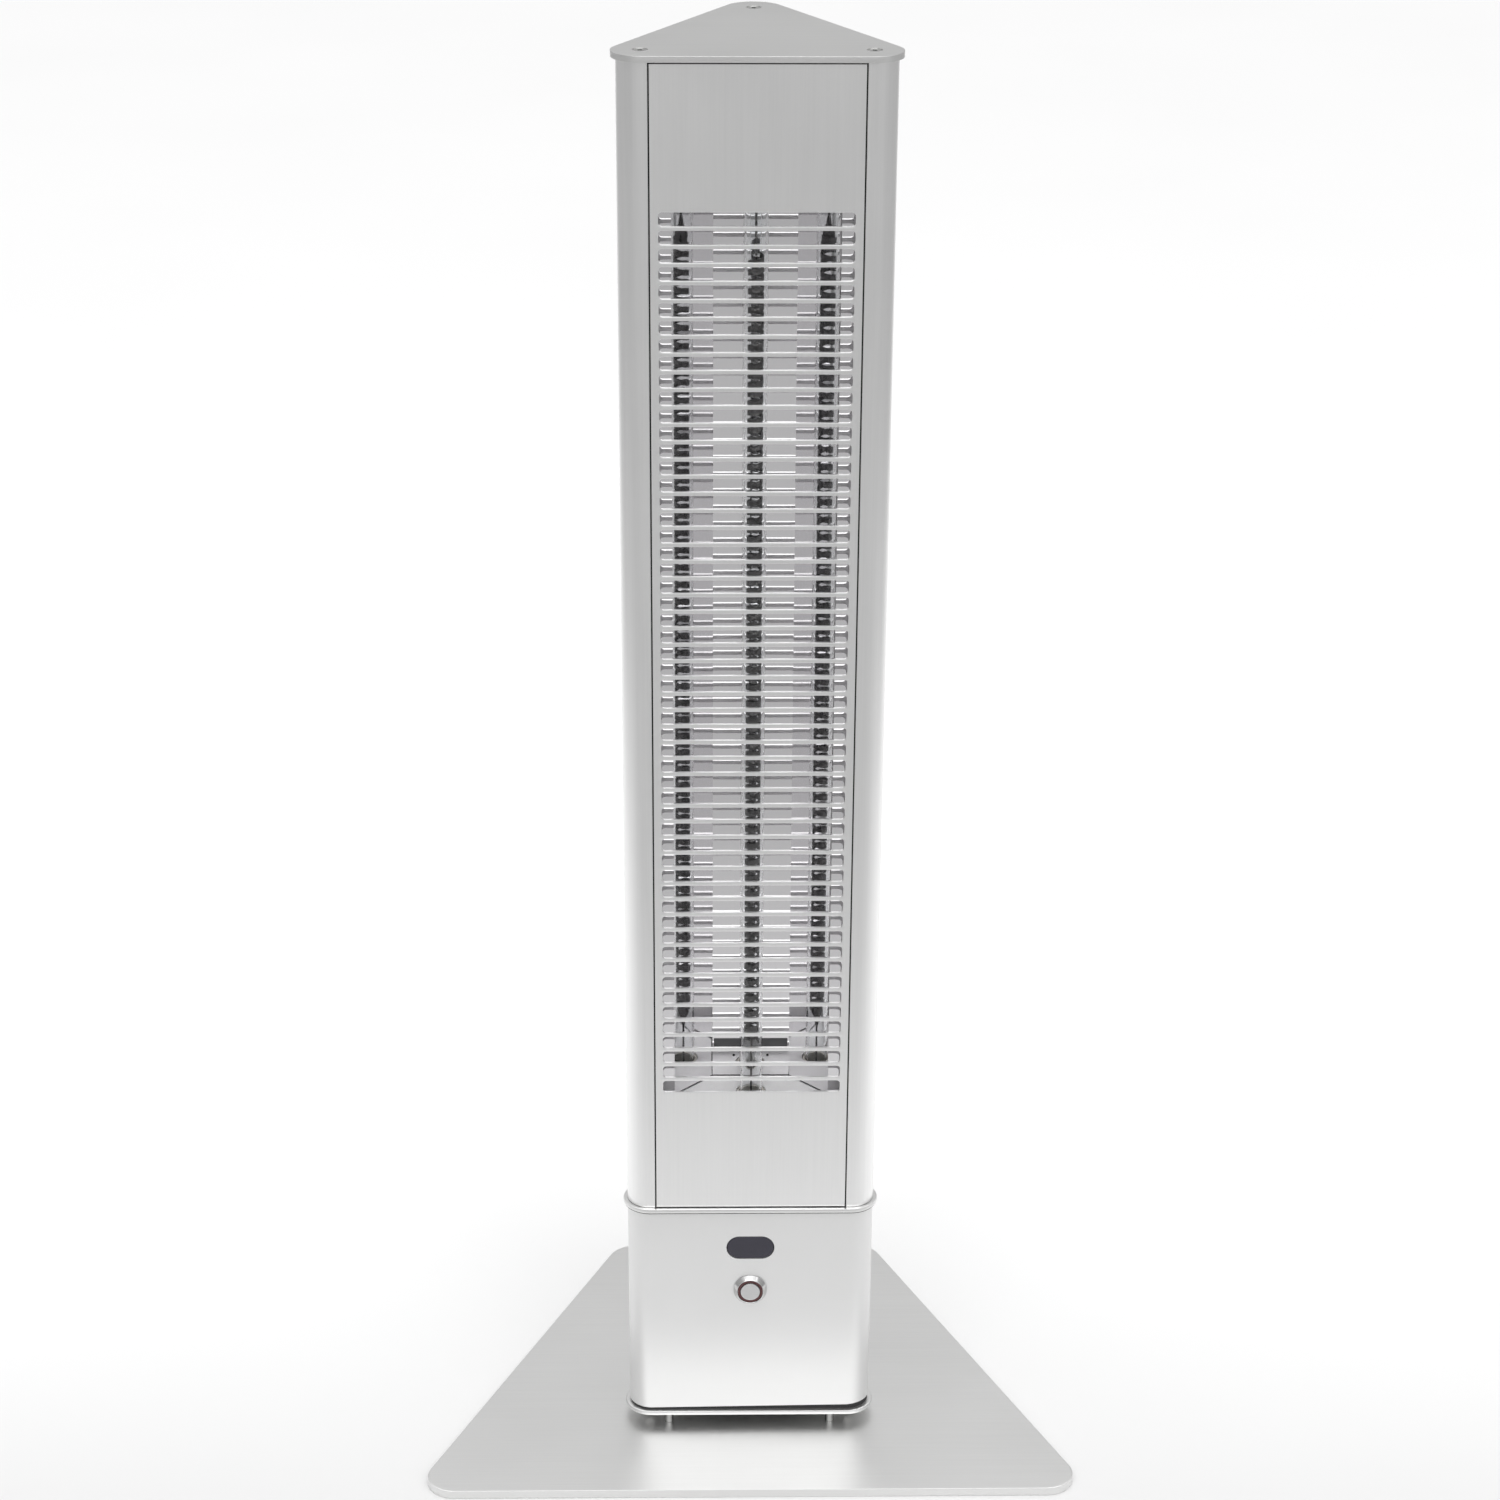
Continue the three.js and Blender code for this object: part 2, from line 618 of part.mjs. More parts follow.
function controlBoard() {
  const sink = BOARD_THICKNESS / 2;
  const middleY = BOARD_REAR - BOARD_DEPTH / 2;
  const footX = (BOARD_WIDTH - BOARD_FOOT) / 2;
  const footY = (BOARD_DEPTH - BOARD_FOOT) / 2;
  const feet = [-1, 1].flatMap((sideX) =>
    [-1, 1].map((sideY) =>
      box([BOARD_FOOT, BOARD_FOOT, BOARD_FOOT_HEIGHT + sink], sideX * footX, middleY + sideY * footY, LOWER_PLATE_TOP),
    ),
  );
  const mounted = (size, x, y) => box([size[0], size[1], size[2] + sink], x, y, BOARD_TOP - sink);
  const relayX = -(PLUG_SIZE / 2 + PART_SPACING + RELAY_SIZE[0] / 2);
  const relayY = RELAY_SIZE[1] / 2 + PART_SPACING / 2;
  const transformerX = PLUG_SIZE / 2 + PART_SPACING + TRANSFORMER_SIZE[0] / 2;
  return join(
    slab(rectangle(BOARD_WIDTH, BOARD_DEPTH, 0, middleY), BOARD_BOTTOM, BOARD_THICKNESS),
    ...feet,
    mounted(RELAY_SIZE, relayX, middleY - relayY),
    mounted(RELAY_SIZE, relayX, middleY + relayY),
    mounted(TRANSFORMER_SIZE, transformerX, middleY),
    mounted([PLUG_SIZE, PLUG_SIZE, PLUG_HEIGHT], 0, 0),
  );
}

function terminalBlock() {
  const block = box(TERMINAL_BLOCK_SIZE, 0, TERMINAL_BLOCK_Y, LOWER_PLATE_TOP);
  const top = LOWER_PLATE_TOP + TERMINAL_BLOCK_SIZE[2];
  const pitch = TERMINAL_BLOCK_SIZE[0] / TERMINAL_WAYS;
  const wells = [];
  for (let way = 0; way < TERMINAL_WAYS; way += 1) {
    const x = (way - (TERMINAL_WAYS - 1) / 2) * pitch;
    const outline = circle(TERMINAL_WELL_RADIUS, x, TERMINAL_BLOCK_Y);
    wells.push(slab(outline, top - TERMINAL_WELL_DEPTH, 2 * TERMINAL_WELL_DEPTH));
  }
  return cut(block, ...wells);
}

function tiltSwitch() {
  return box(TILT_SWITCH_SIZE, TILT_SWITCH_X, TILT_SWITCH_Y, LOWER_PLATE_TOP);
}

// ---------------------------------------------------------------- corner pieces

// These are made with the corner on the +X axis; a group turns each into its own corner.
// A point of the face below that corner: along from the face's middle, depth behind the face.
function onSideFace(along, depth) {
  const slope = THREE.MathUtils.degToRad(30);
  const normal = TOWER_INRADIUS - depth;
  return at(
    along * Math.cos(slope) + normal * Math.sin(slope),
    along * Math.sin(slope) - normal * Math.cos(slope),
  );
}

function profileSection() {
  const panelBack = PANEL_THICKNESS + CLEARANCE;
  const lipBack = panelBack + LIP_THICKNESS;
  const lipEnd = SEAM_FROM_CENTRE - LIP_REACH;
  const rootEnd = SEAM_FROM_CENTRE + LIP_ROOT;
  const centre = 2 * (TOWER_INRADIUS - TOWER_CORNER);
  const outer = [onSideFace(SEAM_FROM_CENTRE, 0)];
  const inner = [];
  const sweep = THREE.MathUtils.degToRad(60);
  for (let k = 0; k <= CORNER_STEPS; k += 1) {
    const angle = -sweep + (sweep * k) / CORNER_STEPS;
    const reach = TOWER_CORNER - PROFILE_WALL;
    outer.push(at(centre + TOWER_CORNER * Math.cos(angle), TOWER_CORNER * Math.sin(angle)));
    inner.push(at(centre + reach * Math.cos(angle), reach * Math.sin(angle)));
  }
  const hook = [
    onSideFace(rootEnd, PROFILE_WALL),
    onSideFace(rootEnd, lipBack),
    onSideFace(lipEnd, lipBack),
    onSideFace(lipEnd, panelBack),
    onSideFace(SEAM_FROM_CENTRE, panelBack),
  ];
  // one half of the section, from the corner's middle outside to its middle inside, and its mirror image
  const half = [...hook.reverse(), ...inner];
  const mirrored = (points) => points.map((point) => at(point.x, -point.y));
  return [
    ...outer,
    ...mirrored(outer).reverse().slice(1),
    ...mirrored(half),
    ...half.reverse().slice(1),
  ];
}

function cornerProfile() {
  const bottom = TOWER_BOTTOM + CLEARANCE;
  const shell = slab(profileSection(), bottom, PROFILE_HEIGHT);
  const boss = slab(circle(PORT_BOSS_RADIUS, PORT_FROM_AXIS, 0), bottom, PROFILE_HEIGHT);
  const webEnd = 2 * (TOWER_INRADIUS - TOWER_CORNER) + TOWER_CORNER - PROFILE_WALL / 2;
  const webMiddle = (PORT_FROM_AXIS + webEnd) / 2;
  const web = slab(rectangle(webEnd - PORT_FROM_AXIS, PORT_WEB, webMiddle, 0), bottom, PROFILE_HEIGHT);
  const through = PROFILE_HEIGHT + 2;
  const bore = slab(circle(PORT_SCREW_SHANK + CLEARANCE, PORT_FROM_AXIS, 0), bottom - 1, through);
  return cut(join(shell, boss, web), bore);
}

function tieBolt() {
  const headBottom = LOWER_PLATE_BOTTOM - CLEARANCE - TIE_BOLT_HEAD_HEIGHT;
  const headTop = LOWER_PLATE_BOTTOM - CLEARANCE;
  const tip = TOWER_BOTTOM + TIE_BOLT_GRIP;
  const bolt = turned(
    [
      [0, headBottom],
      [TIE_BOLT_HEAD, headBottom],
      [TIE_BOLT_HEAD, headTop],
      [PORT_SCREW_SHANK, headTop],
      [PORT_SCREW_SHANK, tip],
      [0, tip],
    ],
    SCREW_SIDES,
  );
  return bolt.translate(PORT_FROM_AXIS, 0, 0);
}

const TOP_FACE = TOWER_TOP + TOP_PLATE_THICKNESS;

// countersunk head at the top; margin widens it into the hole that takes it
function topScrewBody(margin = 0) {
  const rim = TOP_FACE - CLEARANCE + margin;
  return turned(
    [
      [0, TOP_FACE - TOP_SCREW_LENGTH - margin],
      [PORT_SCREW_SHANK + margin, TOP_FACE - TOP_SCREW_LENGTH - margin],
      [PORT_SCREW_SHANK + margin, TOP_FACE - TOP_SCREW_HEAD_DEPTH],
      [TOP_SCREW_HEAD + margin, TOP_FACE - CLEARANCE - TOP_SCREW_HEAD_RIM],
      [TOP_SCREW_HEAD + margin, rim],
      [0, rim],
    ],
    SCREW_SIDES,
  ).translate(PORT_FROM_AXIS, 0, 0);
}

function topScrew() {
  const socketBottom = TOP_FACE - CLEARANCE - TOP_SCREW_SOCKET_DEPTH;
  const socket = slab(circle(TOP_SCREW_SOCKET, PORT_FROM_AXIS, 0, 6), socketBottom, 2 * TOP_SCREW_SOCKET_DEPTH);
  return cut(topScrewBody(), socket);
}

function topPlate() {
  const outline = triangle(TOWER_INRADIUS + TOP_PLATE_OVERHANG, TOWER_CORNER + TOP_PLATE_OVERHANG);
  const holes = [-30, 90, 210].map((degrees) =>
    topScrewBody(CLEARANCE).rotateZ(THREE.MathUtils.degToRad(degrees)),
  );
  return cut(slab(outline, TOWER_TOP, TOP_PLATE_THICKNESS), ...holes);
}

// ---------------------------------------------------------------- face pieces

// These are made on the front face; a group turns each to its own side of the tower.
const PANEL_FACE = -TOWER_INRADIUS;
const PANEL_BACK = PANEL_FACE + PANEL_THICKNESS;

function grillePanel() {
  const width = 2 * (SEAM_FROM_CENTRE - CLEARANCE);
  const outline = rectangle(width, PROFILE_HEIGHT, 0, TOWER_MIDDLE);
  const pitch = SLOT_HEIGHT + SLOT_BAR;
  const slots = [];
  for (let row = 0; row < SLOT_COUNT; row += 1) {
    const z = TOWER_MIDDLE + (row - (SLOT_COUNT - 1) / 2) * pitch;
    slots.push(roundedOutline(rectangle(SLOT_LENGTH, SLOT_HEIGHT, 0, z), SLOT_CORNER, 1));
  }
  return frontSlab(outline, PANEL_BACK, PANEL_THICKNESS, slots);
}

// the folded channel's section in plan: mirror side towards -Y, flanks at 45 degrees
function channelSection() {
  const backY = PANEL_FACE + REFLECTOR_BACK_DEPTH;
  const flankX = REFLECTOR_BACK_HALF + REFLECTOR_FLANK_REACH;
  const flankY = backY - REFLECTOR_FLANK_REACH;
  const edgeX = flankX + REFLECTOR_FLANGE;
  const miter = REFLECTOR_SHEET * Math.tan(THREE.MathUtils.degToRad(22.5));
  const right = [
    at(REFLECTOR_BACK_HALF, backY),
    at(flankX, flankY),
    at(edgeX, flankY),
    at(edgeX, flankY + REFLECTOR_SHEET),
    at(flankX + miter, flankY + REFLECTOR_SHEET),
    at(REFLECTOR_BACK_HALF + miter, backY + REFLECTOR_SHEET),
  ];
  const left = right.map((point) => at(-point.x, point.y)).reverse();
  return [...right, ...left];
}

const CHANNEL_END = CARRIER_INSET + CARRIER_SHEET + CARRIER_CHANNEL_HEIGHT;
const REFLECTOR_BOTTOM = TOWER_BOTTOM + CHANNEL_END + REFLECTOR_SEAM;
const REFLECTOR_TOP = TOWER_TOP - CHANNEL_END - REFLECTOR_SEAM;

function reflector() {
  const channel = slab(channelSection(), REFLECTOR_BOTTOM, REFLECTOR_TOP - REFLECTOR_BOTTOM);
  const start = PANEL_FACE + REFLECTOR_BACK_DEPTH + 2 * REFLECTOR_SHEET;
  const through = 3 * REFLECTOR_SHEET;
  const windowZ = REFLECTOR_BOTTOM + REFLECTOR_WINDOW_RISE + REFLECTOR_WINDOW_HEIGHT / 2;
  const window = rectangle(2 * REFLECTOR_WINDOW_HALF, REFLECTOR_WINDOW_HEIGHT, 0, windowZ);
  const holes = [-1, 1].map((side) => {
    const x = side * REFLECTOR_HOLE_X;
    return circle(REFLECTOR_HOLE_RADIUS, x, REFLECTOR_BOTTOM + REFLECTOR_HOLE_RISE, 8);
  });
  const cutters = [window, ...holes].map((outline) => frontSlab(outline, start, through));
  return cut(channel, ...cutters);
}

const TUBE_Y = PANEL_FACE + TUBE_DEPTH;
const CARRIER_BOTTOM = TOWER_BOTTOM + CARRIER_INSET;
const CARRIER_TOP = CARRIER_BOTTOM + CARRIER_SHEET;

// the lower carrier; the upper one is the same piece turned over
function tubeCarrier() {
  const panelSide = TOWER_INRADIUS - PANEL_THICKNESS - CLEARANCE;
  const cornerSide = PORT_FROM_AXIS - PORT_BOSS_RADIUS - CLEARANCE;
  const outline = [];
  for (let side = 0; side < 3; side += 1) {
    // where the side along a panel meets the two short sides across the corners
    const x = (cornerSide - panelSide / 2) / Math.cos(Math.PI / 6);
    [-x, x].forEach((end) => outline.push(at(end, -panelSide).rotateAround(at(0, 0), side * THIRD_TURN)));
  }
  const loomHole = circle(LOOM_RADIUS + CLEARANCE);
  const capHoles = [0, 1, 2].map((side) =>
    circle(CAP_BODY_RADIUS + CLEARANCE, 0, TUBE_Y, CAP_SIDES).map((point) =>
      point.rotateAround(at(0, 0), side * THIRD_TURN),
    ),
  );
  const plate = slab(outline, CARRIER_BOTTOM, CARRIER_SHEET, [loomHole, ...capHoles]);
  const channel = slab(channelSection(), CARRIER_TOP - 1, CARRIER_CHANNEL_HEIGHT + 1);
  return join(plate, ...[0, 1, 2].map((side) => channel.clone().rotateZ(side * THIRD_TURN)));
}

function turnedOver(geometry) {
  return closed(geometry.clone().translate(0, 0, -TOWER_MIDDLE).scale(1, 1, -1).translate(0, 0, TOWER_MIDDLE));
}

const COLLAR_BOTTOM = CARRIER_TOP + CLEARANCE;
const COLLAR_TOP = COLLAR_BOTTOM + CAP_COLLAR_HEIGHT;
const CAP_FOOT = COLLAR_BOTTOM - CAP_BELOW_COLLAR;
const CAP_MOUTH = COLLAR_TOP + CAP_ABOVE_COLLAR;
const POCKET_FLOOR = CAP_MOUTH - CAP_POCKET_DEPTH;
const LEAD_BORE = LEAD_SIDE / Math.sqrt(2) + CLEARANCE;

function ceramicCap() {
  const cap = turnedRing(
    [
      [LEAD_BORE, CAP_FOOT],
      [CAP_BODY_RADIUS, CAP_FOOT],
      [CAP_BODY_RADIUS, COLLAR_BOTTOM],
      [CAP_COLLAR_RADIUS, COLLAR_BOTTOM],
      [CAP_COLLAR_RADIUS, COLLAR_TOP],
      [CAP_BODY_RADIUS, COLLAR_TOP],
      [CAP_BODY_RADIUS, CAP_MOUTH],
      [TUBE_RADIUS + TUBE_PLAY, CAP_MOUTH],
      [TUBE_RADIUS + TUBE_PLAY, POCKET_FLOOR],
      [LEAD_BORE, POCKET_FLOOR],
    ],
    CAP_SIDES,
  );
  return cap.translate(0, TUBE_Y, 0);
}

function quartzTube() {
  const bottom = POCKET_FLOOR + CLEARANCE;
  const height = 2 * (TOWER_MIDDLE - bottom);
  const outer = circle(TUBE_RADIUS, 0, TUBE_Y, TUBE_SIDES);
  const inner = circle(TUBE_RADIUS - TUBE_WALL, 0, TUBE_Y, TUBE_SIDES);
  return slab(outer, bottom, height, [inner]);
}

// One unbroken strip: a square lead, a wide band wound as a spiral, and a square lead again.
// A ring of the strip is its four corners: radial and along-the-band half sizes about a centre.
function stripRing(radius, angle, z, radial, band, tilt) {
  const out = new THREE.Vector3(Math.cos(angle), Math.sin(angle), 0);
  const around = new THREE.Vector3(-Math.sin(angle), Math.cos(angle), 0);
  const up = new THREE.Vector3(0, 0, Math.sin(tilt));
  const across = up.addScaledVector(around, -Math.cos(tilt));
  const centre = out.clone().multiplyScalar(radius).add(new THREE.Vector3(0, TUBE_Y, z));
  const corners = [[-1, -1], [1, -1], [1, 1], [-1, 1]];
  return corners.map(([a, b]) =>
    centre.clone().addScaledVector(out, (a * radial) / 2).addScaledVector(across, (b * band) / 2),
  );
}

const SPIRAL_BOTTOM = TOWER_BOTTOM + SPIRAL_INSET;
const SPIRAL_TOP = TOWER_TOP - SPIRAL_INSET;

function spiralRings() {
  const low = SPIRAL_BOTTOM + SPIRAL_BAND / 2;
  const high = SPIRAL_TOP - SPIRAL_BAND / 2;
  const count = SPIRAL_TURNS * SPIRAL_STEPS;
  const rings = [];
  for (let k = 0; k <= count; k += 1) {
    const z = low + ((high - low) * k) / count;
    const angle = (2 * Math.PI * k) / SPIRAL_STEPS;
    rings.push(stripRing(SPIRAL_RADIUS, angle, z, SPIRAL_THICKNESS, SPIRAL_BAND, Math.PI / 2));
  }
  return rings;
}

function loft(rings) {
  const sides = rings[0].length;
  const positions = rings.flat().flatMap((point) => point.toArray());
  const index = [];
  for (let ring = 0; ring < rings.length - 1; ring += 1) {
    for (let k = 0; k < sides; k += 1) {
      const a = ring * sides + k;
      const b = ring * sides + ((k + 1) % sides);
      index.push(a, b, b + sides, a, b + sides, a + sides);
    }
  }
  const last = (rings.length - 1) * sides;
  for (let k = 1; k < sides - 1; k += 1) {
    index.push(0, k + 1, k, last, last + k, last + k + 1);
  }
  const geometry = new THREE.BufferGeometry();
  geometry.setAttribute('position', new THREE.Float32BufferAttribute(positions, 3));
  geometry.setIndex(index);
  return closed(geometry);
}

function carbonSpiral() {
  // one step before the spiral and one after it, each lead widens into the band
  const step = (2 * Math.PI) / SPIRAL_STEPS;
  const lead = (z, angle) => stripRing(0, angle, z, LEAD_SIDE, LEAD_SIDE, 0);
  const shoulder = (z, angle) => {
    const width = 2 * LEAD_SIDE;
    return stripRing(SPIRAL_RADIUS - LEAD_SIDE, angle, z, LEAD_SIDE, width, Math.PI / 4);
  };
  const mirrored = (z) => 2 * TOWER_MIDDLE - z;
  const tail = CAP_FOOT - LEAD_TAIL;
  const straightEnd = SPIRAL_BOTTOM - SPIRAL_BAND;
  const shoulderZ = SPIRAL_BOTTOM - LEAD_SIDE;
  return loft([
    lead(tail, -step),
    lead(straightEnd, -step),
    shoulder(shoulderZ, -step),
    ...spiralRings(),
    shoulder(mirrored(shoulderZ), step),
    lead(mirrored(straightEnd), step),
    lead(mirrored(tail), step),
  ]);
}

// the least distance between points of the band that are a turn or more apart
function leastGapInSpiral() {
  const rings = spiralRings();
  let least = Infinity;
  rings.forEach((ring, i) => {
    rings.slice(i + SPIRAL_STEPS, i + 2 * SPIRAL_STEPS).forEach((other) => {
      ring.forEach((point) => other.forEach((next) => {
        least = Math.min(least, point.distanceTo(next));
      }));
    });
  });
  return least;
}

console.log(`carbon spiral: least gap between its turns ${leastGapInSpiral().toFixed(2)} mm`);

// ---------------------------------------------------------------- middle of the tower

function leadLoom() {
  const bottom = PLUG_TOP + CLEARANCE;
  const top = TOWER_TOP - CARRIER_INSET - CLEARANCE;
  return slab(circle(LOOM_RADIUS), bottom, top - bottom);
}

function upperTerminal() {
  const bottom = TOWER_TOP - CARRIER_INSET;
  return slab(circle(UPPER_BLOCK_RADIUS), bottom, UPPER_BLOCK_HEIGHT);
}

// ---------------------------------------------------------------- assembly

const tower = new THREE.Group();
tower.name = 'infrared_patio_heater_tower';

function add(parent, name, geometry, material) {
  const mesh = new THREE.Mesh(geometry, material);
  mesh.name = name;
  parent.add(mesh);
}

add(tower, 'base_plate', basePlate(), satinAluminium);
SPACER_PLACES.forEach((place, i) => {
  add(tower, `spacer_${i + 1}`, spacer(place), stainless);
  add(tower, `base_screw_${i + 1}`, baseScrew().translate(place[0], place[1], 0), zincSteel);
});
add(tower, 'lower_plate', lowerPlate(), satinAluminium);
add(tower, 'base_gasket', baseGasket(), rubber);
add(tower, 'base_housing', baseHousing(), paintedHousing);
add(tower, 'mid_plate', midPlate(), satinAluminium);
add(tower, 'top_plate', topPlate(), satinAluminium);

add(tower, 'display_window', displayWindow(), smokedLens);
add(tower, 'display_module', displayModule(), blackPlastic);
add(tower, 'button_body', buttonBody(), stainless);
add(tower, 'button_light_ring', buttonLightRing(), ringPlastic);
add(tower, 'button_cap', buttonCap(), stainless);
add(tower, 'button_nut', buttonNut(), zincSteel);
add(tower, 'button_terminals', buttonTerminals(), blackPlastic);
add(tower, 'cable_gland', cableGland(), blackPlastic);
add(tower, 'gland_locknut', glandLocknut(), blackPlastic);
add(tower, 'control_board', controlBoard(), boardGreen);
add(tower, 'terminal_block', terminalBlock(), ceramic);
add(tower, 'tilt_switch', tiltSwitch(), blackPlastic);

const carrier = tubeCarrier();
add(tower, 'tube_carrier_lower', carrier, mirrorAluminium);
add(tower, 'tube_carrier_upper', turnedOver(carrier), mirrorAluminium);
add(tower, 'lead_loom', leadLoom(), sleeve);
add(tower, 'upper_terminal', upperTerminal(), ceramic);

// the three corners: right front, rear, left front
['right', 'rear', 'left'].forEach((place, i) => {
  const corner = new THREE.Group();
  corner.rotation.z = THREE.MathUtils.degToRad(-30) + i * THIRD_TURN;
  add(corner, `corner_profile_${place}`, cornerProfile(), satinAluminium);
  add(corner, `tie_bolt_${place}`, tieBolt(), zincSteel);
  add(corner, `top_screw_${place}`, topScrew(), zincSteel);
  tower.add(corner);
});

// the three faces: front, right-hand rear, left-hand rear
['front', 'right', 'left'].forEach((place, i) => {
  const face = new THREE.Group();
  face.rotation.z = i * THIRD_TURN;
  add(face, `grille_panel_${place}`, grillePanel(), satinAluminium);
  add(face, `reflector_${place}`, reflector(), mirrorAluminium);
  add(face, `quartz_tube_${place}`, quartzTube(), quartz);
  add(face, `carbon_spiral_${place}`, carbonSpiral(), carbon);
  add(face, `tube_cap_lower_${place}`, ceramicCap(), ceramic);
  add(face, `tube_cap_upper_${place}`, turnedOver(ceramicCap()), ceramic);
  tower.add(face);
});

export default tower;
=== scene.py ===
"""Infrared patio heater tower: its sheet metal, reflectors, tubes and controls, and a studio."""

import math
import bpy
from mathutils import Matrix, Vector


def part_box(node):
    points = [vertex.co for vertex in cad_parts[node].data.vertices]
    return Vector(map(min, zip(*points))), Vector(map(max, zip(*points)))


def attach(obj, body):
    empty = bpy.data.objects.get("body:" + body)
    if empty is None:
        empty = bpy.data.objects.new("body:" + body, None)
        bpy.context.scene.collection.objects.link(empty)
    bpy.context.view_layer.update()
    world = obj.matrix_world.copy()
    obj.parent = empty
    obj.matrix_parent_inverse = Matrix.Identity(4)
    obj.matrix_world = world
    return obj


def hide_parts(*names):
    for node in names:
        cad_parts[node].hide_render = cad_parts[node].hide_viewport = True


bl_info = {
    "name": "Infrared patio heater tower",
    "version": (1, 0, 0),
    "blender": (4, 5, 0),
    "location": "View3D > Sidebar > Heater",
    "description": "Dresses the packed solids of an infrared patio heater tower",
    "category": "Object",
}

import bmesh
import bpy
from bpy.props import FloatProperty, FloatVectorProperty, IntProperty, PointerProperty
from mathutils import Matrix, Vector

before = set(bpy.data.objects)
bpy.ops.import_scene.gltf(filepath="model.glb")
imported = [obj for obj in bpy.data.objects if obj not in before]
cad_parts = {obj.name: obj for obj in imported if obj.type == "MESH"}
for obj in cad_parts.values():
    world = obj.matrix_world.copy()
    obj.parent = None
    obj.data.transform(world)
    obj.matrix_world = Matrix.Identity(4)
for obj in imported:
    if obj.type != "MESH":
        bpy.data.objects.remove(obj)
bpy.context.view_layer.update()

MM = 0.001
# vertices nearer than the first become one, and in an outline those nearer than the second
SAME_PLACE = 0.001 * MM
SMALLEST_EDGE = 0.03 * MM
ROOT = "tower"
FACES = ("front", "right", "left")
CORNERS = ("right", "rear", "left")
THIRD = math.radians(120)
SIXTH = math.radians(60)
FIRST_CORNER = math.radians(-30)
# lays a piece drawn as (right, up, outward) against the front of the tower
TO_FRONT = Matrix.Rotation(math.radians(90), 4, "X")

# distances from the tower's axis to its faces, its screw ports and its tubes, and radii
TOWER_INRADIUS = 53 * MM
HOUSING_INRADIUS = 52.9 * MM
HOUSING_WALL = 2 * MM
CORNER_RADIUS = 15 * MM
PORT_FROM_AXIS = 77 * MM
PORT_RADIUS = 2.6 * MM
TUBE_OUTWARD = 38.3 * MM
TUBE_RADIUS = 7.2 * MM
CAP_RADIUS = 9.2 * MM

# the housing sits unevenly: towards the right its rim stands higher over its foot
LIFT = 2.2 * MM
LIFT_START = 48 * MM
LIFT_WIDTH = 26 * MM

# (rise, inset) up a rounded edge, as parts of its radius
ROUNDING = ((0.0, 1.0), (0.29, 0.29), (1.0, 0.0))

# light of the sky against the sine of its height
SKY_STRENGTH = 2.0
SKY = ((0.0, 0.45), (0.27, 0.47), (0.57, 0.57), (0.75, 0.95), (1.0, 2.0))

# name, place, width and height in metres, and power in watts of the soft lights
LIGHTS = (
    ("key", (-0.05, -2.4, 2.4), (4, 2.5), 47),
    ("fill", (1.9, -1.6, 1.7), (1.2, 2.0), 5),
)
LIGHTS_AIM = Vector((0, 0, 0.5))
FLOOR_HALF = 12

# the photograph's view: place in metres, the camera's own axes, and millimetres of lens
CAMERA_PLACE = (-0.03851, -1.9413, 1.35088)
CAMERA_RIGHT = Vector((0.99984437, -0.01679781, 0.00539178))
CAMERA_UP = Vector((0.00195531, 0.40925342, 0.91241866))
SENSOR_WIDTH = 36
FOCAL_LENGTH = 80.75


# ---------------------------------------------------------------- sizes and colours


def length(name, description, default):
    return FloatProperty(name=name, description=description, default=default, unit="LENGTH", min=0)


def tint(name, description, default):
    return FloatVectorProperty(
        name=name, description=description, default=default, subtype="COLOR", size=3, min=0, max=1
    )


class HeaterSizes(bpy.types.PropertyGroup):
    """Sizes of the details that the solids leave plain"""

    plate_edge: length("Plate edge", "Rounding along the edges of the plates", 0.5 * MM)
    slot_edge: length("Slot edge", "Rounding along the rims of the grille slots", 0.35 * MM)
    slot_length: length("Slot length", "Length of a grille slot", 113.6 * MM)
    slot_height: length("Slot height", "Height of a grille slot", 8.18 * MM)
    slot_bar: length("Slot bar", "Height of the metal between two slots", 2.6 * MM)
    slot_corner: length("Slot corner", "Corner radius of a grille slot", 2 * MM)
    seam_shadow: length("Seam shadow", "Rounding that widens the seam beside a panel", 0.6 * MM)
    slot_count: IntProperty(name="Slots", description="Slots in one grille panel", default=54, min=1)
    spiral_diameter: length("Spiral diameter", "Outside diameter of the carbon spiral", 9.5 * MM)
    spiral_pitch: length("Spiral pitch", "Rise of the carbon spiral in one turn", 5.7 * MM)
    spiral_band: length("Spiral band", "Width of the carbon band", 3.4 * MM)


class HeaterColours(bpy.types.PropertyGroup):
    """Colours of the finishes"""

    aluminium: tint("Aluminium", "Satin aluminium of the tower", (0.92, 0.92, 0.917))
    plate: tint("Plates", "Satin aluminium of the plates", (0.8, 0.8, 0.795))
    paint: tint("Silver paint", "Paint of the base housing", (0.8, 0.8, 0.798))
    mirror: tint("Mirror", "Bright aluminium of the reflectors", (0.87, 0.86, 0.875))
    steel: tint("Steel", "Polished steel of the push button", (0.62, 0.62, 0.62))
    zinc: tint("Zinc", "Zinc plating of the screws", (0.66, 0.66, 0.65))
    carbon: tint("Carbon", "Carbon band inside the tubes", (0.045, 0.042, 0.042))
    ceramic: tint("Ceramic", "Ceramic of the tube caps", (0.8, 0.77, 0.71))
    lens: tint("Lens", "Smoked display window", (0.02, 0.018, 0.032))
    ring: tint("Light ring", "Unlit light ring of the push button", (0.09, 0.03, 0.03))


# ---------------------------------------------------------------- shader expressions


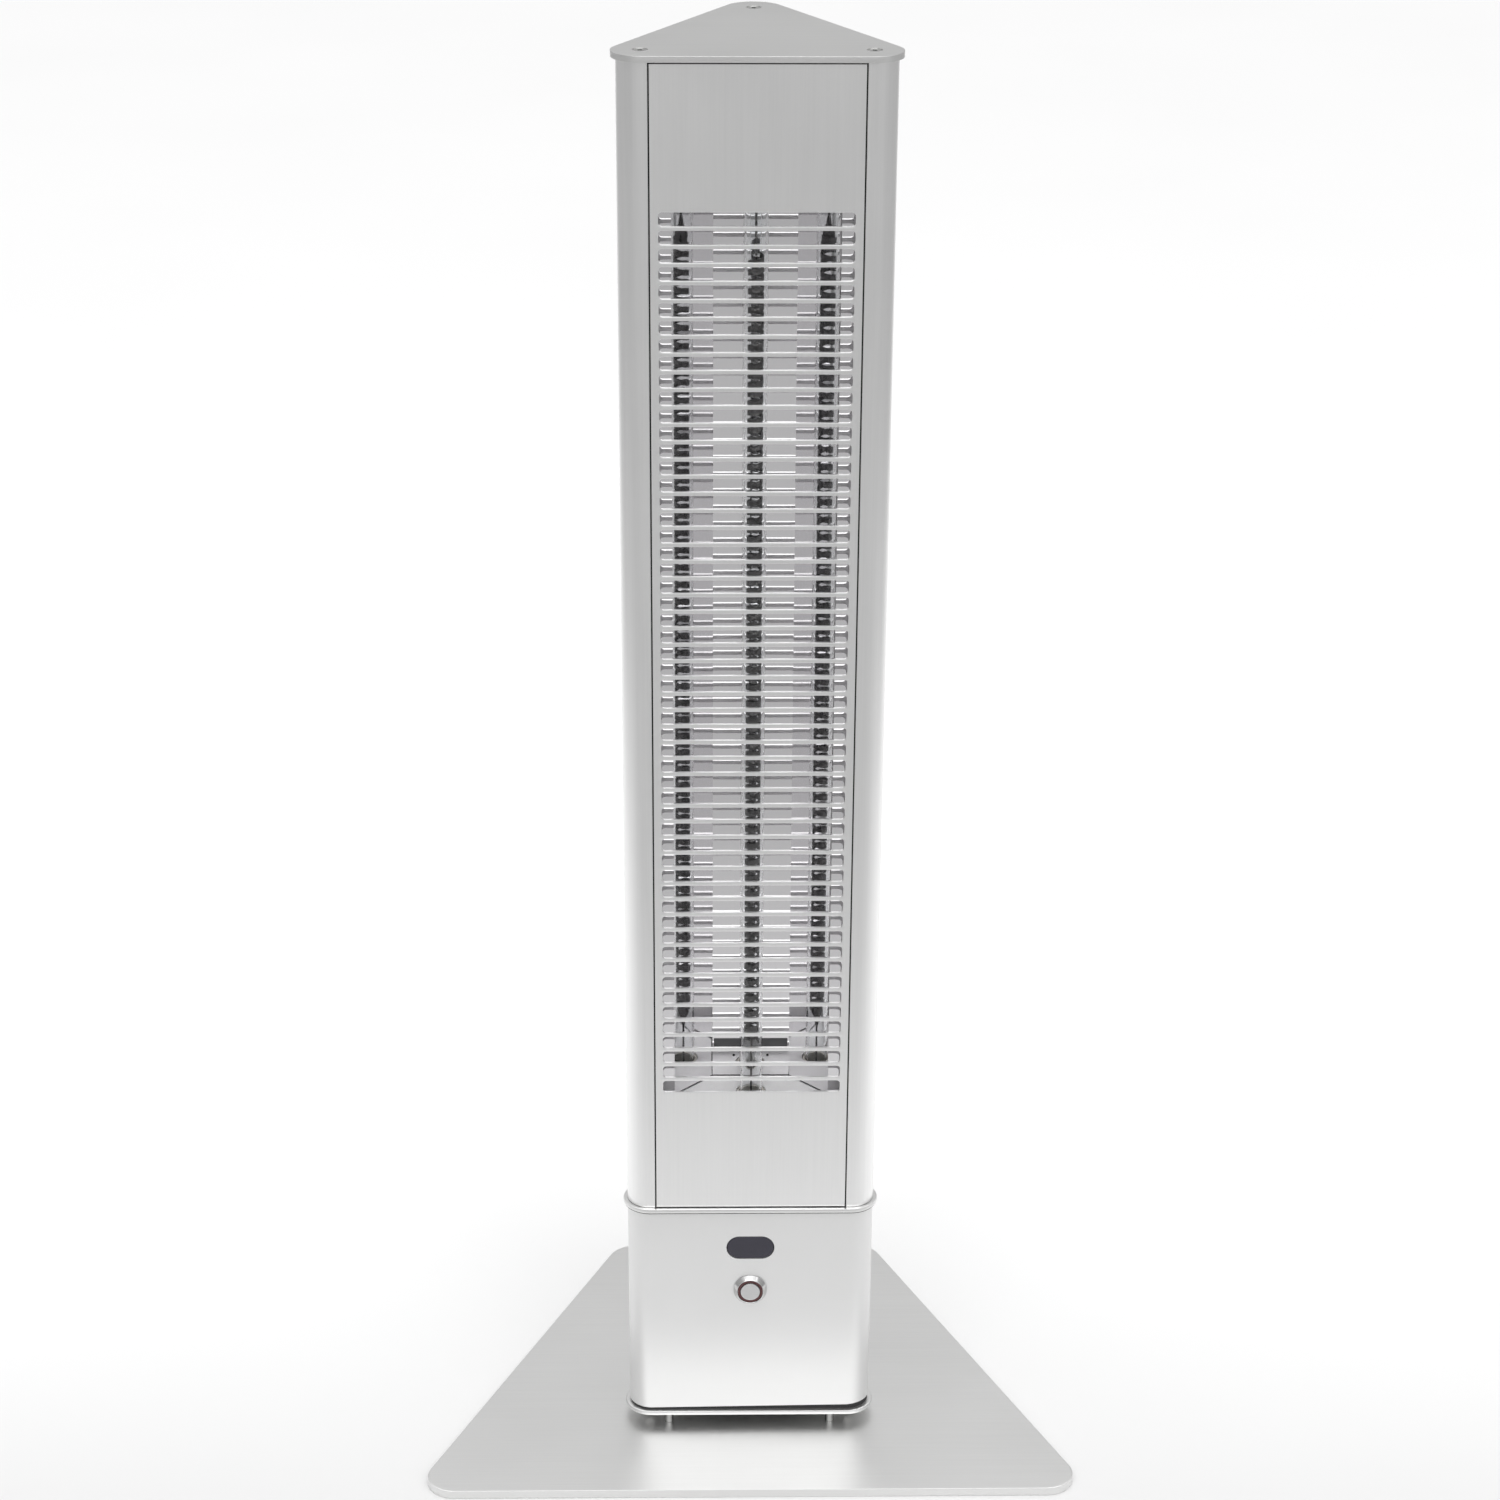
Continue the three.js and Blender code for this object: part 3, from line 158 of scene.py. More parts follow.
class Wire:
    """A shader socket in a Python expression: each operator adds a Math node."""

    def __init__(self, graph, socket):
        self.graph = graph
        self.socket = socket

    def math(self, operation, *values, clamp=False):
        settings = {"operation": operation, "use_clamp": clamp}
        return self.graph.node("ShaderNodeMath", settings, dict(enumerate(values)))

    def __add__(self, other):
        return self.math("ADD", self, other)

    __radd__ = __add__

    def __mul__(self, other):
        return self.math("MULTIPLY", self, other)

    __rmul__ = __mul__

    def __sub__(self, other):
        return self.math("SUBTRACT", self, other)

    def __rsub__(self, other):
        return self.math("SUBTRACT", other, self)

    def __abs__(self):
        return self.math("ABSOLUTE", self)

    def larger(self, other):
        return self.math("MAXIMUM", self, other)

    def above(self, edge, soft):
        """0 below edge, 1 from edge + soft upward."""
        return self.math("MULTIPLY", self - edge, 1 / soft, clamp=True)

    def eased(self):
        """A ramp from 0 to 1 without its two kinks."""
        return self * self * (3 - self * 2)


class Graph:
    """The node tree of one material, with a Principled shader at its end, or of the world."""

    def __init__(self, name, owner=None):
        self.owner = owner or bpy.data.materials.new(name)
        self.owner.use_nodes = True
        self.tree = self.owner.node_tree
        self.tree.nodes.clear()

    def node(self, kind, settings=None, inputs=None, output=0):
        node = self.tree.nodes.new(kind)
        for key, value in (settings or {}).items():
            if key == "stops":
                self.set_stops(node.color_ramp, value)
            else:
                setattr(node, key, value)
        for key, value in (inputs or {}).items():
            self.feed(node.inputs[key], value)
        return Wire(self, node.outputs[output])

    def set_stops(self, ramp, stops):
        while len(ramp.elements) < len(stops):
            ramp.elements.new(1)
        for element, (position, colour) in zip(ramp.elements, stops):
            element.position = position
            element.color = (*colour, 1)

    def feed(self, socket, value):
        if isinstance(value, Wire):
            self.tree.links.new(value.socket, socket)
        else:
            socket.default_value = value

    def place(self, scale=(1, 1, 1)):
        """Object coordinates, in metres, stretched by scale."""
        start = self.node("ShaderNodeTexCoord", output="Object")
        return self.node("ShaderNodeMapping", inputs={"Vector": start, "Scale": scale})

    def axis(self, name):
        """One of the object coordinates X, Y and Z, in metres."""
        return self.node("ShaderNodeSeparateXYZ", inputs={"Vector": self.place()}, output=name)

    def noise(self, scale, detail=2.0, rough=0.5, stretch=(1, 1, 1)):
        """A noise from 0 to 1 with about scale cells in a metre."""
        inputs = {"Vector": self.place(stretch), "Scale": scale, "Detail": detail, "Roughness": rough}
        return self.node("ShaderNodeTexNoise", inputs=inputs)

    def blend(self, amount, low, high):
        """A colour between low and high."""
        inputs = {0: amount, 6: self.rgba(low), 7: self.rgba(high)}
        return self.node("ShaderNodeMix", {"data_type": "RGBA"}, inputs, output=2)

    def rgba(self, colour):
        return colour if isinstance(colour, Wire) else (*colour, 1)

    def bump(self, height, strength, distance):
        inputs = {"Height": height, "Strength": strength, "Distance": distance}
        return self.node("ShaderNodeBump", inputs=inputs)

    def finish(self, colour, roughness, metallic, **others):
        inputs = {"Base Color": self.rgba(colour), "Roughness": roughness, "Metallic": metallic}
        inputs.update(others)
        shader = self.node("ShaderNodeBsdfPrincipled", inputs=inputs)
        return self.end("ShaderNodeOutputMaterial", shader)

    def end(self, kind, shader):
        out = self.tree.nodes.new(kind)
        self.feed(out.inputs["Surface"], shader)
        return self.owner


def shade(colour, factor):
    return tuple(min(channel * factor, 1) for channel in colour)


# ---------------------------------------------------------------- finishes


def satin_metal(name, colour, grain, roughness=0.34, relief=0.0024):
    """Brushed and anodised aluminium; grain is how much the noise is squeezed along each axis."""
    graph = Graph(name)
    streaks = graph.noise(900, 3, 0.6, grain)
    clouds = graph.noise(9, 2)
    tone = streaks * 0.55 + clouds * 0.45
    base = graph.blend(tone, shade(colour, 0.93), shade(colour, 1.06))
    bump = graph.bump(streaks, 1.0, relief * MM)
    return graph.finish(base, tone * 0.1 + (roughness - 0.05), 1.0, Normal=bump)


def mill_aluminium():
    """Bare sheet as it left the mill: pale, dull and evenly bright."""
    graph = Graph("mill_aluminium")
    grain = graph.noise(700, 3, 0.6, (1, 1, 0.05))
    base = graph.blend(grain, (0.93, 0.93, 0.935), (0.98, 0.98, 0.98))
    return graph.finish(base, grain * 0.1 + 0.5, 0.1, Normal=graph.bump(grain, 0.3, 0.02 * MM))


def silver_paint(colour):
    """Metallic paint: fine flakes in a smooth, slightly wavy coat."""
    graph = Graph("silver_paint")
    flakes = graph.noise(4200, 1, 0.5)
    clouds = graph.noise(14, 2)
    base = graph.blend(flakes * 0.5 + clouds * 0.5, shade(colour, 0.94), shade(colour, 1.06))
    bump = graph.bump(graph.noise(650, 2), 0.08, 0.02 * MM)
    return graph.finish(base, clouds * 0.08 + 0.38, 0.75, Normal=bump)


def mirror_metal(colour):
    """Bright rolled sheet: long soft waves, a faint rolling grain and a few dull patches."""
    graph = Graph("mirror_aluminium")
    waves = graph.noise(16, 2, 0.5, (1, 1, 0.35))
    grain = graph.noise(500, 2, 0.5, (1, 1, 0.02))
    base = graph.blend(grain * 0.4 + waves * 0.6, shade(colour, 0.95), shade(colour, 1.03))
    bump = graph.bump(waves, 0.15, 0.25 * MM)
    return graph.finish(base, waves * 0.03 + grain * 0.02 + 0.01, 1.0, Normal=bump)


def polished_metal(colour):
    graph = Graph("polished_steel")
    smears = graph.noise(220, 3)
    base = graph.blend(smears, shade(colour, 0.94), shade(colour, 1.05))
    return graph.finish(base, smears * 0.08 + 0.07, 1.0)


def turned_metal(colour):
    """Satin steel with the fine marks of a sanding belt."""
    graph = Graph("satin_steel")
    marks = graph.noise(1500, 3, 0.6, (0.1, 1, 1))
    base = graph.blend(marks, shade(colour, 0.9), shade(colour, 1.1))
    bump = graph.bump(marks, 0.12, 0.02 * MM)
    return graph.finish(base, marks * 0.12 + 0.28, 1.0, Normal=bump)


def plating(name, colour):
    graph = Graph(name)
    clouds = graph.noise(600, 3)
    base = graph.blend(clouds, shade(colour, 0.85), shade(colour, 1.1))
    return graph.finish(base, clouds * 0.15 + 0.15, 1.0)


def clear_quartz():
    """Clear tube with faint drawing lines along its length."""
    graph = Graph("quartz")
    lines = graph.noise(700, 2, 0.5, (1, 1, 0.01))
    bump = graph.bump(lines, 0.05, 0.02 * MM)
    base = graph.blend(lines, (0.96, 0.975, 0.98), (1, 1, 1))
    inputs = {"Transmission Weight": 1.0, "IOR": 1.45, "Normal": bump}
    return graph.finish(base, lines * 0.02, 0.0, **inputs)


def carbon_band(colour):
    """Carbon fibre band: fine dark fibres with sparse bright flecks."""
    graph = Graph("carbon")
    fibres = graph.noise(1800, 4, 0.7)
    flecks = graph.noise(2600, 2, 0.5).above(0.62, 0.1)
    dark = graph.blend(fibres, shade(colour, 0.5), shade(colour, 1.5))
    base = graph.blend(flecks * 0.5, dark, shade(colour, 4))
    bump = graph.bump(fibres, 0.5, 0.15 * MM)
    return graph.finish(base, fibres * 0.25 + 0.45, 0.0, Normal=bump)


def fired_ceramic(colour):
    graph = Graph("ceramic")
    grain = graph.noise(900, 4, 0.6)
    stains = graph.noise(60, 2)
    base = graph.blend(grain * 0.4 + stains * 0.6, shade(colour, 0.88), shade(colour, 1.08))
    bump = graph.bump(grain, 0.2, 0.1 * MM)
    return graph.finish(base, grain * 0.2 + 0.45, 0.0, Normal=bump)


def moulded(name, colour, roughness, pitch=1500, depth=0.04):
    """Moulded plastic, rubber or lacquer with a fine grain."""
    graph = Graph(name)
    grain = graph.noise(pitch, 3, 0.6)
    clouds = graph.noise(40, 2)
    base = graph.blend(clouds * 0.6 + grain * 0.4, shade(colour, 0.85), shade(colour, 1.2))
    bump = graph.bump(grain, 0.2, depth * MM)
    return graph.finish(base, clouds * 0.08 + (roughness - 0.04), 0.0, Normal=bump)


def smoked_lens(colour):
    """Dark glossy window, with the faint haze of wiping."""
    graph = Graph("smoked_lens")
    haze = graph.noise(90, 3, 0.6)
    base = graph.blend(haze, shade(colour, 0.85), shade(colour, 1.15))
    inputs = {"Coat Weight": 0.3, "Coat Roughness": 0.03}
    return graph.finish(base, haze * 0.05 + 0.1, 0.0, **inputs)


def woven_sleeve():
    """Braided glass-fibre sleeve: two crossing sets of waves."""
    graph = Graph("loom_sleeve")
    settings = {"wave_type": "BANDS", "bands_direction": "DIAGONAL"}
    waves = []
    for side in (1, -1):
        inputs = {"Vector": graph.place((side, 1, 1)), "Scale": 300}
        waves.append(graph.node("ShaderNodeTexWave", settings, inputs, output="Fac"))
    weave = waves[0] * waves[1]
    base = graph.blend(weave, (0.5, 0.45, 0.36), (0.78, 0.74, 0.64))
    return graph.finish(base, weave * 0.1 + 0.75, 0.0, Normal=graph.bump(weave, 0.5, 0.2 * MM))


def floor_with_painted_shade():
    """White paper with painted shade that greys it to the front and the sides, where only the metal
    sees it.
    """
    graph = Graph("floor_with_painted_shade")
    across = abs(graph.axis("X"))
    behind = graph.axis("Y")
    # a fade starts at the first distance in metres, and is as wide as the second
    ahead = (behind * -1).above(-0.5, 1.6).eased()
    beside = (across - behind * 0.25).above(0.5, 1.2).eased() * 0.9
    white = graph.blend(graph.noise(2, 2), (0.93, 0.93, 0.93), (0.96, 0.96, 0.96))
    # the grey ahead and beside is painted shade, standing for the dim studio that the metal mirrors
    base = graph.blend(ahead.larger(beside), white, (0.33, 0.33, 0.33))
    return graph.finish(base, 0.9, 0.0)


def make_finishes(colours):
    """Every finish by name."""
    upright = (1, 1, 0.012)
    crosswise = (0.012, 1, 1)
    return {
        "satin_aluminium": satin_metal("satin_aluminium", colours.aluminium, upright),
        "plate_aluminium": satin_metal("plate_aluminium", colours.plate, crosswise, 0.36, 0.03),
        "mill_aluminium": mill_aluminium(),
        "silver_paint": silver_paint(colours.paint),
        "mirror_aluminium": mirror_metal(colours.mirror),
        "polished_steel": polished_metal(colours.steel),
        "satin_steel": turned_metal(colours.steel),
        "zinc_steel": plating("zinc_steel", colours.zinc),
        "dull_steel": plating("dull_steel", shade(colours.zinc, 0.45)),
        "quartz": clear_quartz(),
        "carbon": carbon_band(colours.carbon),
        "ceramic": fired_ceramic(colours.ceramic),
        "black_rubber": moulded("black_rubber", (0.02, 0.02, 0.021), 0.8, 900, 0.08),
        "smoked_lens": smoked_lens(colours.lens),
        "ring_plastic": moulded("ring_plastic", colours.ring, 0.3),
        # painted shade: the dark sheet that stands for the shaded inside behind the reflector windows
        "painted_shade_sheet": moulded("painted_shade_sheet", (0.1, 0.1, 0.105), 0.5),
        "black_plastic": moulded("black_plastic", (0.025, 0.025, 0.027), 0.5),
        "board_green": moulded("board_green", (0.02, 0.12, 0.05), 0.4, 400, 0.02),
        "loom_sleeve": woven_sleeve(),
    }


FINISHES = {}


# ---------------------------------------------------------------- mesh helpers


def at(x, y, z=0.0):
    return Vector((x, y, z))


def picked(geom, kind=bmesh.types.BMVert):
    """The vertices, or the items of another kind, among what an operator made."""
    return [item for item in geom if isinstance(item, kind)]


def verts_of(edges):
    return list({vertex for edge in edges for vertex in edge.verts})


def middle_of(node):
    """The middle of a CAD node's box."""
    low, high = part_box(node)
    return (low + high) / 2


def above(base, levels, sign=1):
    """(radius, height) points from levels in millimetres over a base, or under it."""
    return [(radius * MM, base + sign * height * MM) for radius, height in levels]


def rounded_corners(corners, radii):
    """The arcs of a rounded outline, as (centre, radius, first angle, turn), counter-clockwise."""
    arcs = []
    for i, corner in enumerate(corners):
        into = (corner - corners[i - 1]).normalized()
        out = (corners[(i + 1) % len(corners)] - corner).normalized()
        turn = into.angle(out)
        start = corner - into * radii[i] * math.tan(turn / 2)
        side = at(-into.y, into.x)
        centre = start + side * radii[i]
        arcs.append((centre, radii[i], math.atan2(-side.y, -side.x), turn))
    return arcs


def triangle(inradius, grow=0.0):
    """The rounded triangle of the tower's sections, with each side moved out by grow."""
    reach = 2 * (inradius + grow)
    corners = []
    for degrees in (-150, -30, 90):
        angle = math.radians(degrees)
        corners.append(at(reach * math.cos(angle), reach * math.sin(angle)))
    return rounded_corners(corners, [CORNER_RADIUS + grow] * 3)


def box_corners(x0, y0, x1, y1, z=0.0):
    return [at(x0, y0, z), at(x1, y0, z), at(x1, y1, z), at(x0, y1, z)]


def rectangle(half_width, half_height, radius, middle=0.0):
    """A rounded rectangle, with its middle at a height over the origin."""
    corners = box_corners(-half_width, middle - half_height, half_width, middle + half_height)
    return rounded_corners(corners, [radius] * 4)


def spin_arc(bm, centre, radius, first, turn, steps, z):
    """Spins one vertex into an arc and gives its first and last vertex."""
    start = centre + at(radius * math.cos(first), radius * math.sin(first), z)
    vertex = bm.verts.new(start)
    spun = bmesh.ops.spin(
        bm, geom=[vertex], cent=centre + at(0, 0, z), axis=(0, 0, 1), angle=turn, steps=steps
    )
    return vertex, picked(spun["geom_last"])[0]


def arc_loop(bm, arcs, inset=0.0, z=0.0, steps=12):
    """A closed loop of edges through arcs, with every side moved in by inset."""
    known = set(bm.edges)
    ends = [spin_arc(bm, c, radius - inset, first, turn, steps, z) for c, radius, first, turn in arcs]
    for i, (first, _) in enumerate(ends):
        bm.edges.new((ends[i - 1][1], first))
    fresh = verts_of(edge for edge in bm.edges if edge not in known)
    bmesh.ops.remove_doubles(bm, verts=fresh, dist=SMALLEST_EDGE)
    return [edge for edge in bm.edges if edge not in known]


def circle_loop(bm, x, y, radius, z, segments=24):
    known = set(bm.edges)
    bmesh.ops.create_circle(bm, segments=segments, radius=radius, matrix=Matrix.Translation((x, y, z)))
    return [edge for edge in bm.edges if edge not in known]


def box_loop(bm, x0, y0, x1, y1, z):
    verts = [bm.verts.new(corner) for corner in box_corners(x0, y0, x1, y1, z)]
    return [bm.edges.new((verts[i - 1], verts[i])) for i in range(4)]


def bridge(bm, loops):
    for low, high in zip(loops, loops[1:]):
        bmesh.ops.bridge_loops(bm, edges=low + high)


def fill(bm, *loops):
    """Flat faces inside the first loop and outside the others."""
    edges = [edge for loop in loops for edge in loop]
    made = bmesh.ops.triangle_fill(bm, use_beauty=True, use_dissolve=False, edges=edges)
    return picked(made["geom"], bmesh.types.BMFace)


def rim_levels(low, high, edge):
    """(inset, height) pairs up a wall whose two edges are rounded."""
    down = [(edge * inset, low + edge * rise) for rise, inset in ROUNDING]
    up = [(edge * inset, high - edge * rise) for rise, inset in reversed(ROUNDING)]
    return down + up


def slab(bm, arcs, low, high, edge, steps=12, holes=()):
    """A plate with rounded edges. A hole is (x, y, [(radius, height), ...]) from below."""
    outer = [arc_loop(bm, arcs, inset, z, steps) for inset, z in rim_levels(low, high, edge)]
    bridge(bm, outer)
    bores = [[circle_loop(bm, x, y, radius, z) for radius, z in levels] for x, y, levels in holes]
    for loops in bores:
        bridge(bm, loops)
    fill(bm, outer[0], *[loops[0] for loops in bores])
    fill(bm, outer[-1], *[loops[-1] for loops in bores])


def turn_profile(bm, points, centre=(0, 0), ring=False, steps=48):
    """Spins (radius, height) points round an upright axis; ring closes the profile on itself."""
    x, y = centre
    verts = [bm.verts.new((x + radius, y, z)) for radius, z in points]
    edges = [bm.edges.new(pair) for pair in zip(verts, verts[1:])]
    if ring:
        edges.append(bm.edges.new((verts[-1], verts[0])))
    bmesh.ops.spin(
        bm,
        geom=verts + edges,
        cent=(x, y, 0),
        axis=(0, 0, 1),
        angle=2 * math.pi,
        steps=steps,
        use_merge=True,
    )
    bmesh.ops.remove_doubles(bm, verts=bm.verts, dist=SAME_PLACE)


def raise_corner(verts):
    """Lifts vertices that lie towards the right, where the housing sits unevenly."""
    for vertex in verts:
        step = min(max((vertex.co.x - LIFT_START) / LIFT_WIDTH, 0), 1)
        vertex.co.z += LIFT * step * step * (3 - 2 * step)


def make_piece(name, bm, finish, nodes=(), place=Matrix(), slot=None, sharp=30, body=ROOT):
    """Turns a bmesh into a finished piece that rides on a body and stands for CAD nodes.

    The slot argument is not used, and edges that bend by more than sharp
    degrees stay sharp.
    """
    bmesh.ops.transform(bm, matrix=place, verts=bm.verts)
    bmesh.ops.remove_doubles(bm, verts=bm.verts, dist=SAME_PLACE)
    bmesh.ops.recalc_face_normals(bm, faces=bm.faces)
    limit = math.radians(sharp)
    for edge in bm.edges:
        edge.smooth = len(edge.link_faces) != 2 or edge.calc_face_angle() < limit
    for face in bm.faces:
        face.smooth = True
    mesh = bpy.data.meshes.new(name)
    bm.to_mesh(mesh)
    bm.free()
    mesh.materials.append(FINISHES[finish])
    piece = bpy.data.objects.new(name, mesh)
    bpy.context.collection.objects.link(piece)
    weighted = piece.modifiers.new("Face weighted normals", "WEIGHTED_NORMAL")
    weighted.keep_sharp = True
    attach(piece, body)
    if nodes:
        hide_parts(*nodes)
    return piece


def dress(node, finish):
    """Gives a CAD node that stays its finish."""
    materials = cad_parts[node].data.materials
    materials.clear()
    materials.append(FINISHES[finish])


def around(i, first=0.0):
    return Matrix.Rotation(first + i * THIRD, 4, "Z")


def three_pieces(kind, bm, finish, lay=TO_FRONT, solid=True, **others):
    """The same piece on each face of the tower; solid where it stands for a CAD node."""
    pieces = []
    for i, face in enumerate(FACES):
        node = f"{kind}_{face}"
        nodes = [node] if solid else []
        place = around(i) @ lay
        pieces.append(make_piece(f"heater_{node}", bm.copy(), finish, nodes, place, **others))
    bm.free()
    return pieces


# ---------------------------------------------------------------- pieces


class HEATER_OT_plates(bpy.types.Operator):
    """Base plate, spacers, lower plate, mid plate, top plate, gasket and a black strip of painted
    shade under the collar
    """

    bl_idname = "heater.plates"
    bl_label = "Plates"

    # half the width, place along Y and corner radius of the base plate's two ends
    BASE_FRONT = (222.4 * MM, -127.9 * MM, 18 * MM)
    BASE_REAR = (92.3 * MM, 168.2 * MM, 21.7 * MM)
    # radii of the base plate's screw holes, and the heights between which they narrow
    HOLE_WIDE, HOLE_NARROW = 4.2 * MM, 2.2 * MM
    CONE_FOOT, CONE_TOP = 0.5 * MM, 2.2 * MM
    SPACER_RADIUS = 3 * MM
    SPACER_EDGE = 0.3 * MM
    OVERHANG = 2.7 * MM
    TOP_OVERHANG = 3 * MM
    # rounding of the base plate, the two plates of the stack and the top plate, in plate edges
    BASE_ROUNDING, STACK_ROUNDING, TOP_ROUNDING = 1.2, 1.6, 0.5
    # radius of the top plate's countersinks, and the depths between which they widen
    SINK_RADIUS = 4.6 * MM
    SINK_FOOT, SINK_TOP = 2.3 * MM, 0.5 * MM
    # how far the outer and inner sides of each ring lie inside the housing's face
    GASKET = (0.6 * MM, 3.6 * MM)
    # the black strip under the collar is painted shade, a dark line where the collar shades the
    # housing
    SHADE_STRIP = (-2.3 * MM, -0.1 * MM)
    SHADE_STRIP_HEIGHT = 0.45 * MM
    STEPS = 24

    def execute(self, context):
        edge = context.scene.heater_sizes.plate_edge
        self.base_plate(edge)
        self.spacers()
        self.stack_plate("lower_plate", HOUSING_INRADIUS, edge)
        self.stack_plate("mid_plate", TOWER_INRADIUS, edge)
        self.top_plate(edge)
        self.gasket()
        self.collar_shade_strip()
        return {"FINISHED"}

    def spacer_places(self):
        """Each spacer's number, middle, foot and top."""
        for i in (1, 2, 3):
            low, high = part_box(f"spacer_{i}")
            middle = (low + high) / 2
            yield i, middle.x, middle.y, low.z, high.z

    def base_plate(self, edge):
        (front, near, front_radius), (rear, far, rear_radius) = self.BASE_FRONT, self.BASE_REAR
        corners = [at(-front, near), at(front, near), at(rear, far), at(-rear, far)]
        arcs = rounded_corners(corners, [front_radius, front_radius, rear_radius, rear_radius])
        low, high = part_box("base_plate")
        wide, narrow = self.HOLE_WIDE, self.HOLE_NARROW
        sink = [(wide, low.z), (wide, self.CONE_FOOT), (narrow, self.CONE_TOP), (narrow, high.z)]
        holes = [(x, y, sink) for _, x, y, _, _ in self.spacer_places()]
        bm = bmesh.new()
        slab(bm, arcs, low.z, high.z, self.BASE_ROUNDING * edge, 20, holes)
        make_piece("heater_base_plate", bm, "plate_aluminium", ["base_plate"], slot="satin_aluminium")

    def spacers(self):
        hole, rim, edge = self.HOLE_NARROW, self.SPACER_RADIUS, self.SPACER_EDGE
        for i, x, y, low, high in self.spacer_places():
            profile = [(hole, low), (rim - edge, low), (rim, low + edge)]
            profile += [(rim, high - edge), (rim - edge, high), (hole, high)]
            bm = bmesh.new()
            turn_profile(bm, profile, (x, y), ring=True, steps=32)
            make_piece(f"heater_spacer_{i}", bm, "dull_steel", [f"spacer_{i}"], slot="polished_steel")

    def stack_plate(self, node, inradius, edge):
        low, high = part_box(node)
        bm = bmesh.new()
        arcs = triangle(inradius, self.OVERHANG)
        slab(bm, arcs, low.z, high.z, self.STACK_ROUNDING * edge, self.STEPS)
        make_piece(f"heater_{node}", bm, "plate_aluminium", [node], slot="satin_aluminium")

    def top_plate(self, edge):
        low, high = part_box("top_plate")
        foot, top = high.z - self.SINK_FOOT, high.z - self.SINK_TOP
        narrow, wide = PORT_RADIUS, self.SINK_RADIUS
        sink = [(narrow, low.z), (narrow, foot), (wide, top), (wide, high.z)]
        ports = [around(i, FIRST_CORNER) @ at(PORT_FROM_AXIS, 0) for i in range(3)]
        holes = [(port.x, port.y, sink) for port in ports]
        arcs = triangle(TOWER_INRADIUS, self.TOP_OVERHANG)
        bm = bmesh.new()
        slab(bm, arcs, low.z, high.z, self.TOP_ROUNDING * edge, self.STEPS, holes)
        make_piece("heater_top_plate", bm, "plate_aluminium", ["top_plate"], slot="satin_aluminium")

    def ring(self, sides, low, high):
        """A closed ring round the housing, between its outer and inner side."""
        outer, inner = sides
        # bridges between loops in this order don't twist
        levels = ((inner, high), (inner, low), (outer, low), (outer, high))
        arcs = triangle(HOUSING_INRADIUS)
        bm = bmesh.new()
        loops = [arc_loop(bm, arcs, inset, z, self.STEPS) for inset, z in levels]
        bridge(bm, loops + loops[:1])
        return bm

    def gasket(self):
        low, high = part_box("base_gasket")
        bm = self.ring(self.GASKET, low.z, high.z)
        raise_corner([vertex for vertex in bm.verts if vertex.co.z > (low.z + high.z) / 2])
        make_piece("heater_gasket", bm, "black_rubber", ["base_gasket"])

    def collar_shade_strip(self):
        """A thin black strip under the overhang of the mid plate, round the top of the housing:
        painted shade for the shadow line beneath the collar.
        """
        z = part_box("mid_plate")[0].z
        bm = self.ring(self.SHADE_STRIP, z - self.SHADE_STRIP_HEIGHT, z)
        make_piece("heater_collar_seal", bm, "black_rubber")


